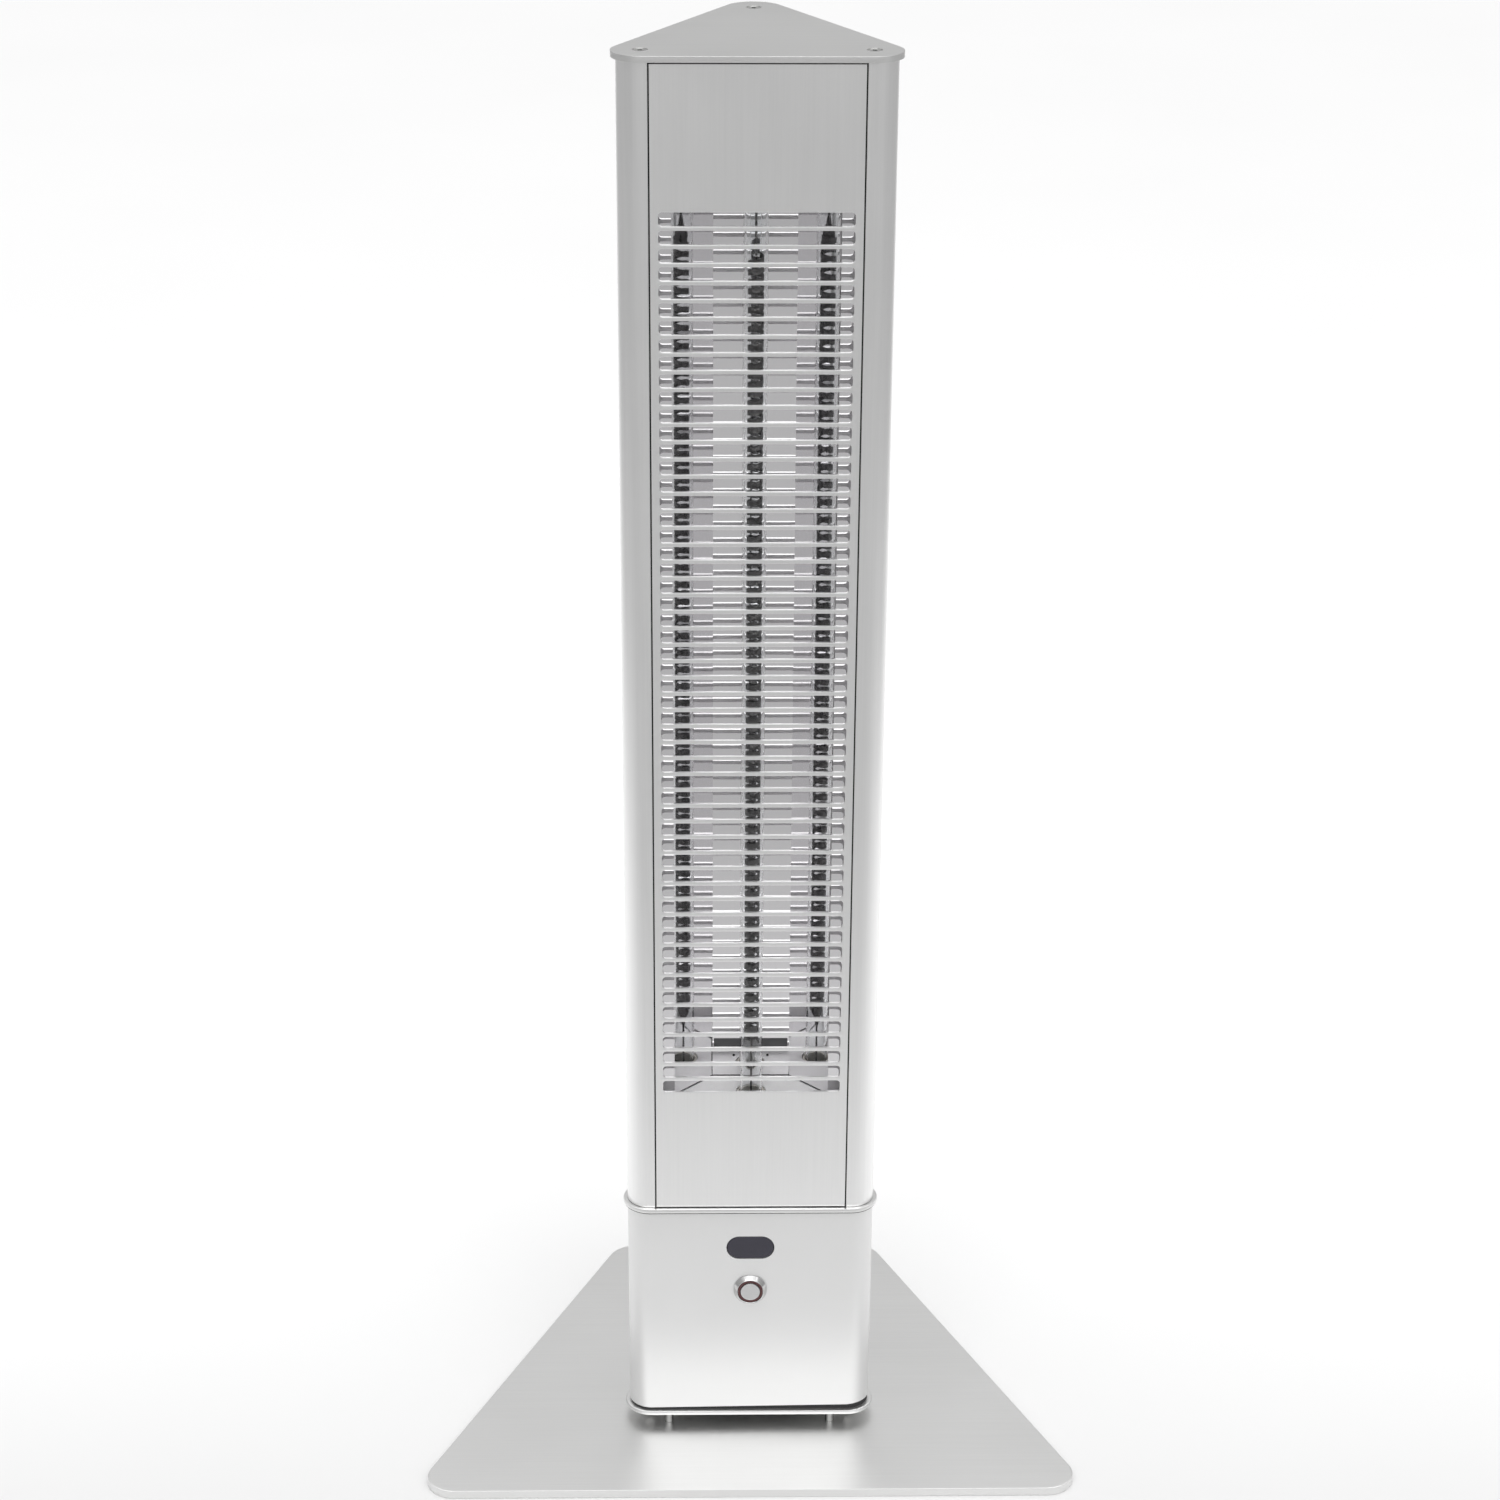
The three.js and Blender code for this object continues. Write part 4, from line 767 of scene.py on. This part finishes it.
class HEATER_OT_housing(bpy.types.Operator):
    """Base housing with its window and button openings"""

    bl_idname = "heater.housing"
    bl_label = "Base housing"

    EDGE = 0.4 * MM
    # half the width, half the height and the corner radius
    WINDOW = (15.75 * MM, 8.6 * MM, 8.59 * MM)
    BUTTON_HOLE = 9.6 * MM
    GLAND_HOLE = 6.3 * MM
    GLAND_ACROSS = 22 * MM
    # (growth, depth) in millimetres through the wall, round an opening
    BEVEL = ((0.3, 0.0), (0.09, 0.09), (0.0, 0.3), (0.0, 2.0))
    # how much a face of the skin may lean, and lie off the skin's plane
    LEAN, PLAY = 0.0001, 0.01 * MM

    def execute(self, context):
        low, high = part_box("base_housing")
        levels = rim_levels(low.z, high.z, self.EDGE)
        levels += [(HOUSING_WALL, high.z), (HOUSING_WALL, low.z)]
        arcs = triangle(HOUSING_INRADIUS)
        bm = bmesh.new()
        loops = [arc_loop(bm, arcs, inset, z, 24) for inset, z in levels]
        bridge(bm, loops + loops[:1])
        raise_corner([vertex for vertex in bm.verts if vertex.co.z < low.z + 2 * self.EDGE])
        window_z = middle_of("display_window").z
        button_z = middle_of("button_cap").z
        gland_z = middle_of("gland_locknut").z
        button_hole = self.round_hole(self.BUTTON_HOLE)
        self.cut(bm, 0, [(0, window_z, rectangle(*self.WINDOW)), (0, button_z, button_hole)])
        self.cut(bm, 1, [(self.GLAND_ACROSS, gland_z, self.round_hole(self.GLAND_HOLE))])
        make_piece("heater_housing", bm, "silver_paint", ["base_housing"])
        return {"FINISHED"}

    def round_hole(self, radius):
        return [(at(0, 0), radius, 0, math.pi), (at(0, 0), radius, math.pi, math.pi)]

    def cut(self, bm, side, openings):
        """Opens both skins of one side at (x, z, arcs) and joins them round each opening."""
        cuts = []
        for x, z, arcs in openings:
            place = around(side) @ Matrix.Translation((x, 0, z)) @ TO_FRONT
            loops = []
            for grow, depth in self.BEVEL:
                loop = arc_loop(bm, arcs, -grow * MM, HOUSING_INRADIUS - depth * MM, 12)
                bmesh.ops.transform(bm, matrix=place, verts=verts_of(loop))
                loops.append(loop)
            cuts.append(loops)
        self.open_skin(bm, [loops[0] for loops in cuts], side, HOUSING_INRADIUS)
        self.open_skin(bm, [loops[-1] for loops in cuts], side, HOUSING_INRADIUS - HOUSING_WALL)
        for loops in cuts:
            bridge(bm, loops)

    def open_skin(self, bm, loops, side, distance):
        """Replaces a flat skin with one that leaves the loops open."""
        bm.normal_update()
        normal = around(side) @ Vector((0, -1, 0))
        skin = {
            face
            for face in bm.faces
            if abs(face.normal.dot(normal)) > 1 - self.LEAN
            and all(abs(vertex.co.dot(normal) - distance) < self.PLAY for vertex in face.verts)
        }
        edges = {edge for face in skin for edge in face.edges}
        rim = [edge for edge in edges if sum(face in skin for face in edge.link_faces) == 1]
        bmesh.ops.delete(bm, geom=list(skin), context="FACES_ONLY")
        fill(bm, rim, *loops)


class HEATER_OT_profiles(bpy.types.Operator):
    """Rounded corner profiles that run the height of the tower"""

    bl_idname = "heater.profiles"
    bl_label = "Corner profiles"

    # from the middle of a face to the seam beside its panel
    SEAM = 62.5 * MM
    # depth of the lip that a panel rests on
    LIP = 2.3 * MM
    WALL = 2 * MM
    LIP_WIDTH = 3.9 * MM
    BEVEL = 0.25 * MM
    PORT_OUTSIDE = 4.6 * MM
    PLAY = 0.01 * MM

    def execute(self, context):
        low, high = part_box("corner_profile_rear")
        height = high.z - low.z
        for i, name in enumerate(CORNERS):
            bm = bmesh.new()
            self.raise_faces(bm, fill(bm, self.section(bm, low.z)), height)
            # faces in the groove beside and below a panel take the second finish, black rubber, as
            # painted shade
            for face in bm.faces:
                face.material_index = int(self.in_painted_seam_shade(face.calc_center_median()))
            outer = circle_loop(bm, PORT_FROM_AXIS, 0, self.PORT_OUTSIDE, low.z)
            bore = circle_loop(bm, PORT_FROM_AXIS, 0, PORT_RADIUS, low.z)
            self.raise_faces(bm, fill(bm, outer, bore), height)
            node = f"corner_profile_{name}"
            place = around(i, FIRST_CORNER)
            piece = make_piece(f"heater_{node}", bm, "satin_aluminium", [node], place)
            # black rubber here is painted shade for the dark seam, not a part of the profile
            piece.data.materials.append(FINISHES["black_rubber"])
        return {"FINISHED"}

    def in_painted_seam_shade(self, point):
        """Whether a point of the section lies on the strip beside and below a panel that is painted
        black as the seam's shade.
        """
        start = self.on_face(0, 0)
        from_start = at(point.x, -abs(point.y)) - start
        along = from_start.dot(self.on_face(1, 0) - start)
        depth = from_start.dot(self.on_face(0, 1) - start)
        return along < self.SEAM + self.PLAY and self.BEVEL < depth < self.LIP + self.PLAY

    def on_face(self, along, depth):
        """A point of the face below a corner that points along +X."""
        normal = TOWER_INRADIUS - depth
        slope = SIXTH / 2
        x = along * math.cos(slope) + normal * math.sin(slope)
        return at(x, along * math.sin(slope) - normal * math.cos(slope))

    def section(self, bm, z):
        """The closed outline of a corner that points along +X."""
        wall, lip, seam = self.WALL, self.LIP, self.SEAM
        centre = at(2 * (TOWER_INRADIUS - CORNER_RADIUS), 0)
        hook = [
            self.on_face(seam + wall, wall),
            self.on_face(seam + wall, lip + wall),
            self.on_face(seam - self.LIP_WIDTH, lip + wall),
            self.on_face(seam - self.LIP_WIDTH, lip),
            self.on_face(seam, lip),
            self.on_face(seam, self.BEVEL),
            self.on_face(seam + self.BEVEL, 0),
        ]
        flipped = [at(point.x, -point.y) for point in reversed(hook)]
        known = set(bm.edges)
        outer = spin_arc(bm, centre, CORNER_RADIUS, -SIXTH, 2 * SIXTH, 32, z)
        inner = spin_arc(bm, centre, CORNER_RADIUS - wall, SIXTH, -2 * SIXTH, 32, z)
        self.join(bm, outer[1], flipped, inner[0], z)
        self.join(bm, inner[1], hook, outer[0], z)
        return [edge for edge in bm.edges if edge not in known]

    def join(self, bm, first, points, last, z):
        chain = [first] + [bm.verts.new(point + at(0, 0, z)) for point in points] + [last]
        for pair in zip(chain, chain[1:]):
            bm.edges.new(pair)

    def raise_faces(self, bm, faces, height):
        made = bmesh.ops.extrude_face_region(bm, geom=faces)
        bmesh.ops.translate(bm, vec=(0, 0, height), verts=picked(made["geom"]))


class HEATER_OT_grilles(bpy.types.Operator):
    """Slotted grille panels on the three faces"""

    bl_idname = "heater.grilles"
    bl_label = "Grille panels"

    # how far a panel ends short of the mid plate and the top plate
    GAP_BELOW = 0.5 * MM
    GAP_ABOVE = 1.05 * MM
    # cosine from which a face counts as part of the panel's back
    FACING = 0.9

    def execute(self, context):
        bm = bmesh.new()
        self.panel(bm, context.scene.heater_sizes)
        for i, piece in enumerate(three_pieces("grille_panel", bm, "satin_aluminium")):
            piece.data.materials.append(FINISHES["mill_aluminium"])
            inward = around(i) @ Vector((0, 1, 0))
            for face in piece.data.polygons:
                face.material_index = int(face.normal.dot(inward) > self.FACING)
        return {"FINISHED"}

    def panel(self, bm, sizes):
        """The front panel, drawn as (right, up, outward)."""
        low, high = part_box("grille_panel_front")
        half = high.x - sizes.seam_shadow
        pitch = sizes.slot_height + sizes.slot_bar
        field_low = (low.z + high.z - sizes.slot_count * pitch) / 2
        field_high = field_low + sizes.slot_count * pitch
        self.tile(bm, sizes, half, field_low, -high.y, -low.y)
        tile = bm.verts[:] + bm.edges[:] + bm.faces[:]
        for row in range(1, sizes.slot_count):
            copy = bmesh.ops.duplicate(bm, geom=tile)
            bmesh.ops.translate(bm, vec=(0, row * pitch, 0), verts=picked(copy["geom"]))
        bmesh.ops.remove_doubles(bm, verts=bm.verts, dist=SAME_PLACE)
        self.extend(bm, field_low, low.z + self.GAP_BELOW - field_low)
        self.extend(bm, field_high, high.z - self.GAP_ABOVE - field_high)
        rim = [edge for edge in bm.edges if edge.is_boundary]
        bmesh.ops.bridge_loops(bm, edges=rim)

    def tile(self, bm, sizes, half, bottom, back, front):
        """Both skins round one slot, and the walls of the slot."""
        top = bottom + sizes.slot_height + sizes.slot_bar
        reach, rise = sizes.slot_length / 2, sizes.slot_height / 2
        arcs = rectangle(reach, rise, sizes.slot_corner, (bottom + top) / 2)
        levels = rim_levels(back, front, sizes.slot_edge)
        loops = [arc_loop(bm, arcs, -grow, z, 4) for grow, z in levels]
        bridge(bm, loops)
        for z, loop in ((back, loops[0]), (front, loops[-1])):
            fill(bm, box_loop(bm, -half, bottom, half, top, z), loop)

    def extend(self, bm, y, reach):
        """Pulls the open edges at a height along by reach."""
        line = [
            edge
            for edge in bm.edges
            if edge.is_boundary and all(abs(vertex.co.y - y) < SAME_PLACE for vertex in edge.verts)
        ]
        made = bmesh.ops.extrude_edge_only(bm, edges=line)
        bmesh.ops.translate(bm, vec=(0, reach, 0), verts=picked(made["geom"]))


class HEATER_OT_reflectors(bpy.types.Operator):
    """Folded mirror reflectors with their end windows and end plates, and a dark sheet of painted
    shade behind each window
    """

    bl_idname = "heater.reflectors"
    bl_label = "Reflectors"

    # the back strip's distance from the axis and half its width, then the folds
    BACK = 19.3 * MM
    BACK_HALF = 24.9 * MM
    FLANK = 24.6 * MM
    LIP = 8 * MM
    SHEET = 0.8 * MM
    # half the width, half the height and the corner radius; the height is over the foot
    WINDOW = (24 * MM, 4.3 * MM, 0.6 * MM)
    # the dark sheet behind each window is painted shade, standing for the shaded inside of the tower
    SHIELD = (24.8 * MM, 6 * MM, 0.6 * MM)
    WINDOW_HEIGHT = 22.8 * MM
    SHIELD_BACK, SHIELD_FRONT, SHIELD_EDGE = 17.2 * MM, 17.8 * MM, 0.1 * MM
    HOLE_RADIUS, HOLE_ACROSS, HOLE_HEIGHT = 0.9 * MM, 11 * MM, 14.5 * MM
    # right half of an end plate, in millimetres, and its other sizes
    END_PLATE = ((56.5, -50.9), (56.5, -44.3), (49.1, -44.3), (24.5, -19.7))
    END_CORNER, END_SHEET, END_EDGE = 0.2 * MM, 1.2 * MM, 0.15 * MM
    END_BELOW, END_ABOVE = 2 * MM, 0.8 * MM
    END_PLAY = 0.4 * MM

    def execute(self, context):
        low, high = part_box("reflector_front")
        bm = bmesh.new()
        self.channel(bm, low, high)
        three_pieces("reflector", bm, "mirror_aluminium")
        # a dark sheet behind each window, painted shade for the shaded space inside
        bm = bmesh.new()
        arcs = rectangle(*self.SHIELD, low.z + self.WINDOW_HEIGHT)
        slab(bm, arcs, self.SHIELD_BACK, self.SHIELD_FRONT, self.SHIELD_EDGE, 3)
        three_pieces("interior_shade_sheet", bm, "painted_shade_sheet", solid=False, slot="zinc_steel")
        for end, z in (("lower", low.z - self.END_BELOW), ("upper", high.z + self.END_ABOVE)):
            kind, finish = f"channel_end_{end}", "mill_aluminium"
            bm = self.end_plate(end, z)
            three_pieces(kind, bm, finish, Matrix(), solid=False, slot="mirror_aluminium")
            dress(f"tube_carrier_{end}", "mirror_aluminium")
        return {"FINISHED"}

    def channel(self, bm, low, high):
        """The front reflector, folded from its back strip outwards."""
        back, half = self.BACK, self.BACK_HALF
        rim = box_loop(bm, -half, low.z, half, high.z, back)
        window = rectangle(*self.WINDOW, low.z + self.WINDOW_HEIGHT)
        openings = [arc_loop(bm, window, 0, back, 3)]
        for side in (-1, 1):
            x, y = side * self.HOLE_ACROSS, low.z + self.HOLE_HEIGHT
            openings.append(circle_loop(bm, x, y, self.HOLE_RADIUS, back, 16))
        fill(bm, rim, *openings)
        for side in (-1, 1):
            line = [
                edge
                for edge in bm.edges
                if edge.is_boundary
                and all(abs(vertex.co.x - side * half) < SAME_PLACE for vertex in edge.verts)
            ]
            for shift in ((side * self.FLANK, 0, self.FLANK), (side * self.LIP, 0, 0)):
                made = bmesh.ops.extrude_edge_only(bm, edges=line)
                moved = picked(made["geom"])
                edges = picked(made["geom"], bmesh.types.BMEdge)
                line = [edge for edge in edges if all(vertex in moved for vertex in edge.verts)]
                bmesh.ops.translate(bm, vec=shift, verts=moved)
        bmesh.ops.recalc_face_normals(bm, faces=bm.faces)
        if sum(face.normal.z * face.calc_area() for face in bm.faces) > 0:
            bmesh.ops.reverse_faces(bm, faces=bm.faces)
        bmesh.ops.solidify(bm, geom=bm.faces, thickness=-self.SHEET)

    def end_plate(self, end, z):
        """The bright plate that closes an end of the front channel round its tube."""
        low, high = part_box(f"tube_cap_{end}_front")
        radius = (CAP_RADIUS if low.z < z < high.z else TUBE_RADIUS) + self.END_PLAY
        half = [at(x * MM, y * MM) for x, y in self.END_PLATE]
        other = [at(-point.x, point.y) for point in reversed(half)]
        arcs = rounded_corners(half + other, [self.END_CORNER] * 8)
        top = z + self.END_SHEET
        bm = bmesh.new()
        slab(bm, arcs, z, top, self.END_EDGE, 3, [(0, -TUBE_OUTWARD, [(radius, z), (radius, top)])])
        return bm


class HEATER_OT_tubes(bpy.types.Operator):
    """Quartz tubes, carbon spirals, leads and ceramic caps"""

    bl_idname = "heater.tubes"
    bl_label = "Heating tubes"

    TUBE_BORE = 6 * MM
    SPIRAL_FOOT = 290.6 * MM
    SPIRAL_TOP = 813.6 * MM
    BAND_THICKNESS = 0.6 * MM
    STEPS_IN_TURN = 24
    LEAD_RADIUS = 0.6 * MM
    LEAD_OVERLAP = 3 * MM
    # (distance from the lead's end, half the width) in millimetres along a clip
    CLIP = ((14, 0.9), (9, 1.6), (4, 3.6), (-4, 3.8))
    CLIP_HALF, CLIP_CORNER = 0.5 * MM, 0.2 * MM
    # (radius, height over its outer end) in millimetres round a cap
    CAP = (
        (1.3, 0), (8.7, 0), (9.2, 0.5), (9.2, 12), (11, 12), (11.5, 12.5), (11.5, 14.5), (11, 15),
        (9.2, 15), (9.2, 32.5), (8.7, 33), (7.7, 33), (7.7, 25), (1.3, 25),
    )

    def execute(self, context):
        sizes = context.scene.heater_sizes
        for kind, bm, finish, sharp in (
            ("quartz_tube", self.tube(), "quartz", 30),
            ("carbon_spiral", self.spiral(sizes), "carbon", 60),
            ("tube_cap_lower", self.cap("lower"), "ceramic", 30),
            ("tube_cap_upper", self.cap("upper"), "ceramic", 30),
        ):
            three_pieces(kind, bm, finish, Matrix(), sharp=sharp)
        return {"FINISHED"}

    def tube(self):
        low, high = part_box("quartz_tube_front")
        bore, outside = self.TUBE_BORE, TUBE_RADIUS
        profile = [(bore, low.z), (outside, low.z), (outside, high.z), (bore, high.z)]
        bm = bmesh.new()
        turn_profile(bm, profile, (0, -TUBE_OUTWARD), ring=True)
        return bm

    def spiral(self, sizes):
        """A band wound round the tube's axis, with a lead and a clip at each end."""
        low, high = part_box("carbon_spiral_front")
        start, end = self.SPIRAL_FOOT, self.SPIRAL_TOP
        outer = sizes.spiral_diameter / 2
        inner = outer - self.BAND_THICKNESS
        turns = (end - start - sizes.spiral_band) / sizes.spiral_pitch
        steps = round(turns * self.STEPS_IN_TURN)
        top = start + sizes.spiral_band
        y = -TUBE_OUTWARD
        bm = bmesh.new()
        corners = ((inner, y, start), (outer, y, start), (outer, y, top), (inner, y, top))
        first = bm.faces.new([bm.verts.new(corner) for corner in corners])
        bmesh.ops.spin(
            bm,
            geom=[first, *first.edges, *first.verts],
            cent=(0, y, 0),
            axis=(0, 0, 1),
            dvec=(0, 0, sizes.spiral_pitch / self.STEPS_IN_TURN),
            angle=2 * math.pi * steps / self.STEPS_IN_TURN,
            steps=steps,
        )
        self.lead(bm, y, low.z, start + self.LEAD_OVERLAP)
        self.lead(bm, y, high.z, end - self.LEAD_OVERLAP)
        return bm

    def lead(self, bm, y, far, near):
        """A round lead, and the flat tapered clip on the end of the band, edge on to the front."""
        sign = 1 if near > far else -1
        radius = self.LEAD_RADIUS
        turn_profile(bm, [(0, far), (radius, far), (radius, near), (0, near)], (0, y), steps=16)
        rings = []
        for back, reach in self.CLIP:
            arcs = rectangle(self.CLIP_HALF, reach * MM, self.CLIP_CORNER)
            ring = arc_loop(bm, arcs, 0, near - sign * back * MM, 3)
            bmesh.ops.translate(bm, vec=(0, y, 0), verts=verts_of(ring))
            rings.append(ring)
        bridge(bm, rings)
        fill(bm, rings[0])
        fill(bm, rings[-1])

    def cap(self, end):
        low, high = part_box(f"tube_cap_{end}_front")
        points = above(low.z, self.CAP) if end == "lower" else above(high.z, self.CAP, -1)
        bm = bmesh.new()
        turn_profile(bm, points, (0, -TUBE_OUTWARD), ring=True, steps=40)
        return bm


class HEATER_OT_display(bpy.types.Operator):
    """Smoked display window with its flange, and the module behind it"""

    bl_idname = "heater.display"
    bl_label = "Display window"

    # half the width, half the height and the corner radius
    LENS = (15.45 * MM, 8.3 * MM, 8.29 * MM)
    SKIRT = (18.75 * MM, 11.6 * MM, 11.59 * MM)
    SKIRT_FRONT = 50.6 * MM
    # (inset, depth) in millimetres over the lens's rounded edge
    EDGE = ((0.8, 0), (0.32, 0.096), (0.08, 0.32), (0, 0.8))

    def execute(self, context):
        low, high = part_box("display_window")
        lens, skirt = rectangle(*self.LENS), rectangle(*self.SKIRT)
        levels = [(lens, inset, z) for inset, z in above(-low.y, self.EDGE, -1)]
        levels += [(lens, 0, self.SKIRT_FRONT), (skirt, 0, self.SKIRT_FRONT), (skirt, 0, -high.y)]
        bm = bmesh.new()
        loops = [arc_loop(bm, arcs, inset, z, 12) for arcs, inset, z in levels]
        bridge(bm, loops)
        fill(bm, loops[0])
        fill(bm, loops[-1])
        place = Matrix.Translation((0, 0, (low.z + high.z) / 2)) @ TO_FRONT
        make_piece("heater_display_window", bm, "smoked_lens", ["display_window"], place)
        dress("display_module", "black_plastic")
        return {"FINISHED"}


class HEATER_OT_button(bpy.types.Operator):
    """Push button: bevelled body, light ring, moving cap, nut and terminals"""

    bl_idname = "heater.button"
    bl_label = "Push button"

    # (radius, distance outside the housing's face) in millimetres
    BODY = (
        (2.3, -24), (9.3, -24), (9.3, 0.3), (10.8, 0.3), (11, 0.5), (11, 1.0), (10.8, 1.25),
        (9.1, 3.35), (8.85, 3.5), (8.6, 3.5), (8.5, 3.4), (8.5, 0.3), (6.75, 0.3), (6.75, -5.8),
        (2.3, -5.8),
    )
    RING = (
        (6.75, 0.6), (8.2, 0.6), (8.2, 3.0), (8.1, 3.15), (7.9, 3.2), (7.0, 3.2), (6.85, 3.15),
        (6.75, 3.0),
    )
    CAP = (
        (0, -20.5), (2, -20.5), (2, -3), (6.4, -3), (6.4, 3.35), (6.32, 3.6), (6.15, 3.72),
        (5.8, 3.76), (4.5, 3.68), (0, 3.6),
    )

    def execute(self, context):
        self.turned("button_body", "polished_steel", self.BODY)
        self.turned("button_light_ring", "ring_plastic", self.RING)
        self.turned(
            "button_cap", "satin_steel", self.CAP, ring=False, slot="polished_steel", body="button"
        )
        dress("button_nut", "zinc_steel")
        dress("button_terminals", "black_plastic")
        return {"FINISHED"}

    def turned(self, node, finish, levels, ring=True, **others):
        bm = bmesh.new()
        turn_profile(bm, above(HOUSING_INRADIUS, levels), ring=ring, steps=64)
        place = Matrix.Translation((0, 0, middle_of("button_cap").z)) @ TO_FRONT
        make_piece(f"heater_{node}", bm, finish, [node], place, **others)


class HEATER_OT_fittings(bpy.types.Operator):
    """Screws, bolts, cable gland, board, terminal blocks, tilt switch and loom"""

    bl_idname = "heater.fittings"
    bl_label = "Fittings"

    # (radius, height) in millimetres over a top screw's tip, and over its head's face
    TIP = ((0, 0), (1.8, 0), (2.3, 0.5))
    HEAD = ((2.3, -2), (4.2, -0.25), (4.25, -0.1), (4.1, 0), (2.2, 0))
    SOCKET_RADIUS = 1.5 * MM
    SOCKET_DEPTH = 1.8 * MM

    def execute(self, context):
        for i, name in enumerate(CORNERS):
            self.top_screw(i, name)
            dress(f"tie_bolt_{name}", "zinc_steel")
            dress(f"base_screw_{i + 1}", "zinc_steel")
        for node, finish in (
            ("cable_gland", "black_plastic"),
            ("gland_locknut", "black_plastic"),
            ("control_board", "board_green"),
            ("terminal_block", "ceramic"),
            ("tilt_switch", "black_plastic"),
            ("lead_loom", "loom_sleeve"),
            ("upper_terminal", "ceramic"),
        ):
            dress(node, finish)
        return {"FINISHED"}

    def top_screw(self, i, name):
        node = f"top_screw_{name}"
        low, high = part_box(node)
        bm = bmesh.new()
        points = above(low.z, self.TIP) + above(high.z, self.HEAD)
        turn_profile(bm, points, (PORT_FROM_AXIS, 0))
        mouth = [edge for edge in bm.edges if edge.is_boundary]
        depths = (high.z, high.z - self.SOCKET_DEPTH)
        socket = [circle_loop(bm, PORT_FROM_AXIS, 0, self.SOCKET_RADIUS, z, 6) for z in depths]
        bridge(bm, socket)
        fill(bm, socket[1])
        fill(bm, mouth, socket[0])
        make_piece(f"heater_{node}", bm, "zinc_steel", [node], around(i, FIRST_CORNER))


# ---------------------------------------------------------------- stage


class HEATER_OT_stage(bpy.types.Operator):
    """Floor, soft lights, sky and camera"""

    bl_idname = "heater.stage"
    bl_label = "Stage"

    def execute(self, context):
        self.floor(context)
        self.sky(context)
        for light in LIGHTS:
            self.area(context, *light)
        self.camera(context)
        context.scene.view_settings.view_transform = "Standard"
        return {"FINISHED"}

    def floor(self, context):
        bm = bmesh.new()
        bmesh.ops.create_grid(bm, x_segments=1, y_segments=1, size=FLOOR_HALF)
        mesh = bpy.data.meshes.new("floor")
        bm.to_mesh(mesh)
        bm.free()
        mesh.materials.append(floor_with_painted_shade())
        floor = bpy.data.objects.new("floor", mesh)
        context.collection.objects.link(floor)

    def sky(self, context):
        graph = Graph("studio", bpy.data.worlds.new("studio"))
        direction = graph.node("ShaderNodeTexCoord", output="Generated")
        height = graph.node("ShaderNodeSeparateXYZ", inputs={"Vector": direction}, output="Z")
        stops = [(rise, (light / SKY_STRENGTH,) * 3) for rise, light in SKY]
        colour = graph.node("ShaderNodeValToRGB", {"stops": stops}, {"Fac": height}, "Color")
        inputs = {"Color": colour, "Strength": SKY_STRENGTH}
        light = graph.node("ShaderNodeBackground", inputs=inputs)
        context.scene.world = graph.end("ShaderNodeOutputWorld", light)

    def area(self, context, name, place, size, power):
        light = bpy.data.lights.new(name, "AREA")
        light.shape = "RECTANGLE"
        light.size, light.size_y = size
        light.energy = power
        lamp = bpy.data.objects.new(name, light)
        lamp.location = place
        lamp.visible_camera = False
        aim = LIGHTS_AIM - lamp.location
        lamp.rotation_euler = aim.to_track_quat("-Z", "Y").to_euler()
        context.collection.objects.link(lamp)

    def camera(self, context):
        axes = (CAMERA_RIGHT, CAMERA_UP, CAMERA_RIGHT.cross(CAMERA_UP))
        turn = Matrix(axes).transposed().to_4x4()
        lens = bpy.data.cameras.new("camera")
        lens.sensor_width = SENSOR_WIDTH
        lens.lens = FOCAL_LENGTH
        camera = bpy.data.objects.new("camera", lens)
        camera.matrix_world = Matrix.Translation(CAMERA_PLACE) @ turn
        context.collection.objects.link(camera)
        context.scene.camera = camera


# ---------------------------------------------------------------- panel and registration

PIECES = (
    HEATER_OT_plates,
    HEATER_OT_housing,
    HEATER_OT_profiles,
    HEATER_OT_grilles,
    HEATER_OT_reflectors,
    HEATER_OT_tubes,
    HEATER_OT_display,
    HEATER_OT_button,
    HEATER_OT_fittings,
    HEATER_OT_stage,
)


class HEATER_PT_build(bpy.types.Panel):
    """Lists the steps that build the heater"""

    bl_label = "Patio heater"
    bl_idname = "HEATER_PT_build"
    bl_space_type = "VIEW_3D"
    bl_region_type = "UI"
    bl_category = "Heater"

    def draw(self, context):
        for piece in PIECES:
            self.layout.operator(piece.bl_idname)
        for group in (context.scene.heater_sizes, context.scene.heater_colours):
            for name in group.bl_rna.properties.keys():
                if name not in ("rna_type", "name"):
                    self.layout.prop(group, name)


CLASSES = (HeaterSizes, HeaterColours, *PIECES, HEATER_PT_build)


def register():
    for item in CLASSES:
        bpy.utils.register_class(item)
    bpy.types.Scene.heater_sizes = PointerProperty(type=HeaterSizes)
    bpy.types.Scene.heater_colours = PointerProperty(type=HeaterColours)


def unregister():
    del bpy.types.Scene.heater_colours
    del bpy.types.Scene.heater_sizes
    for item in reversed(CLASSES):
        bpy.utils.unregister_class(item)


def main():
    register()
    FINISHES.update(make_finishes(bpy.context.scene.heater_colours))
    bpy.ops.heater.plates()
    bpy.ops.heater.housing()
    bpy.ops.heater.profiles()
    bpy.ops.heater.grilles()
    bpy.ops.heater.reflectors()
    bpy.ops.heater.tubes()
    bpy.ops.heater.display()
    bpy.ops.heater.button()
    bpy.ops.heater.fittings()
    bpy.ops.heater.stage()


if __name__ == "__main__":
    main()
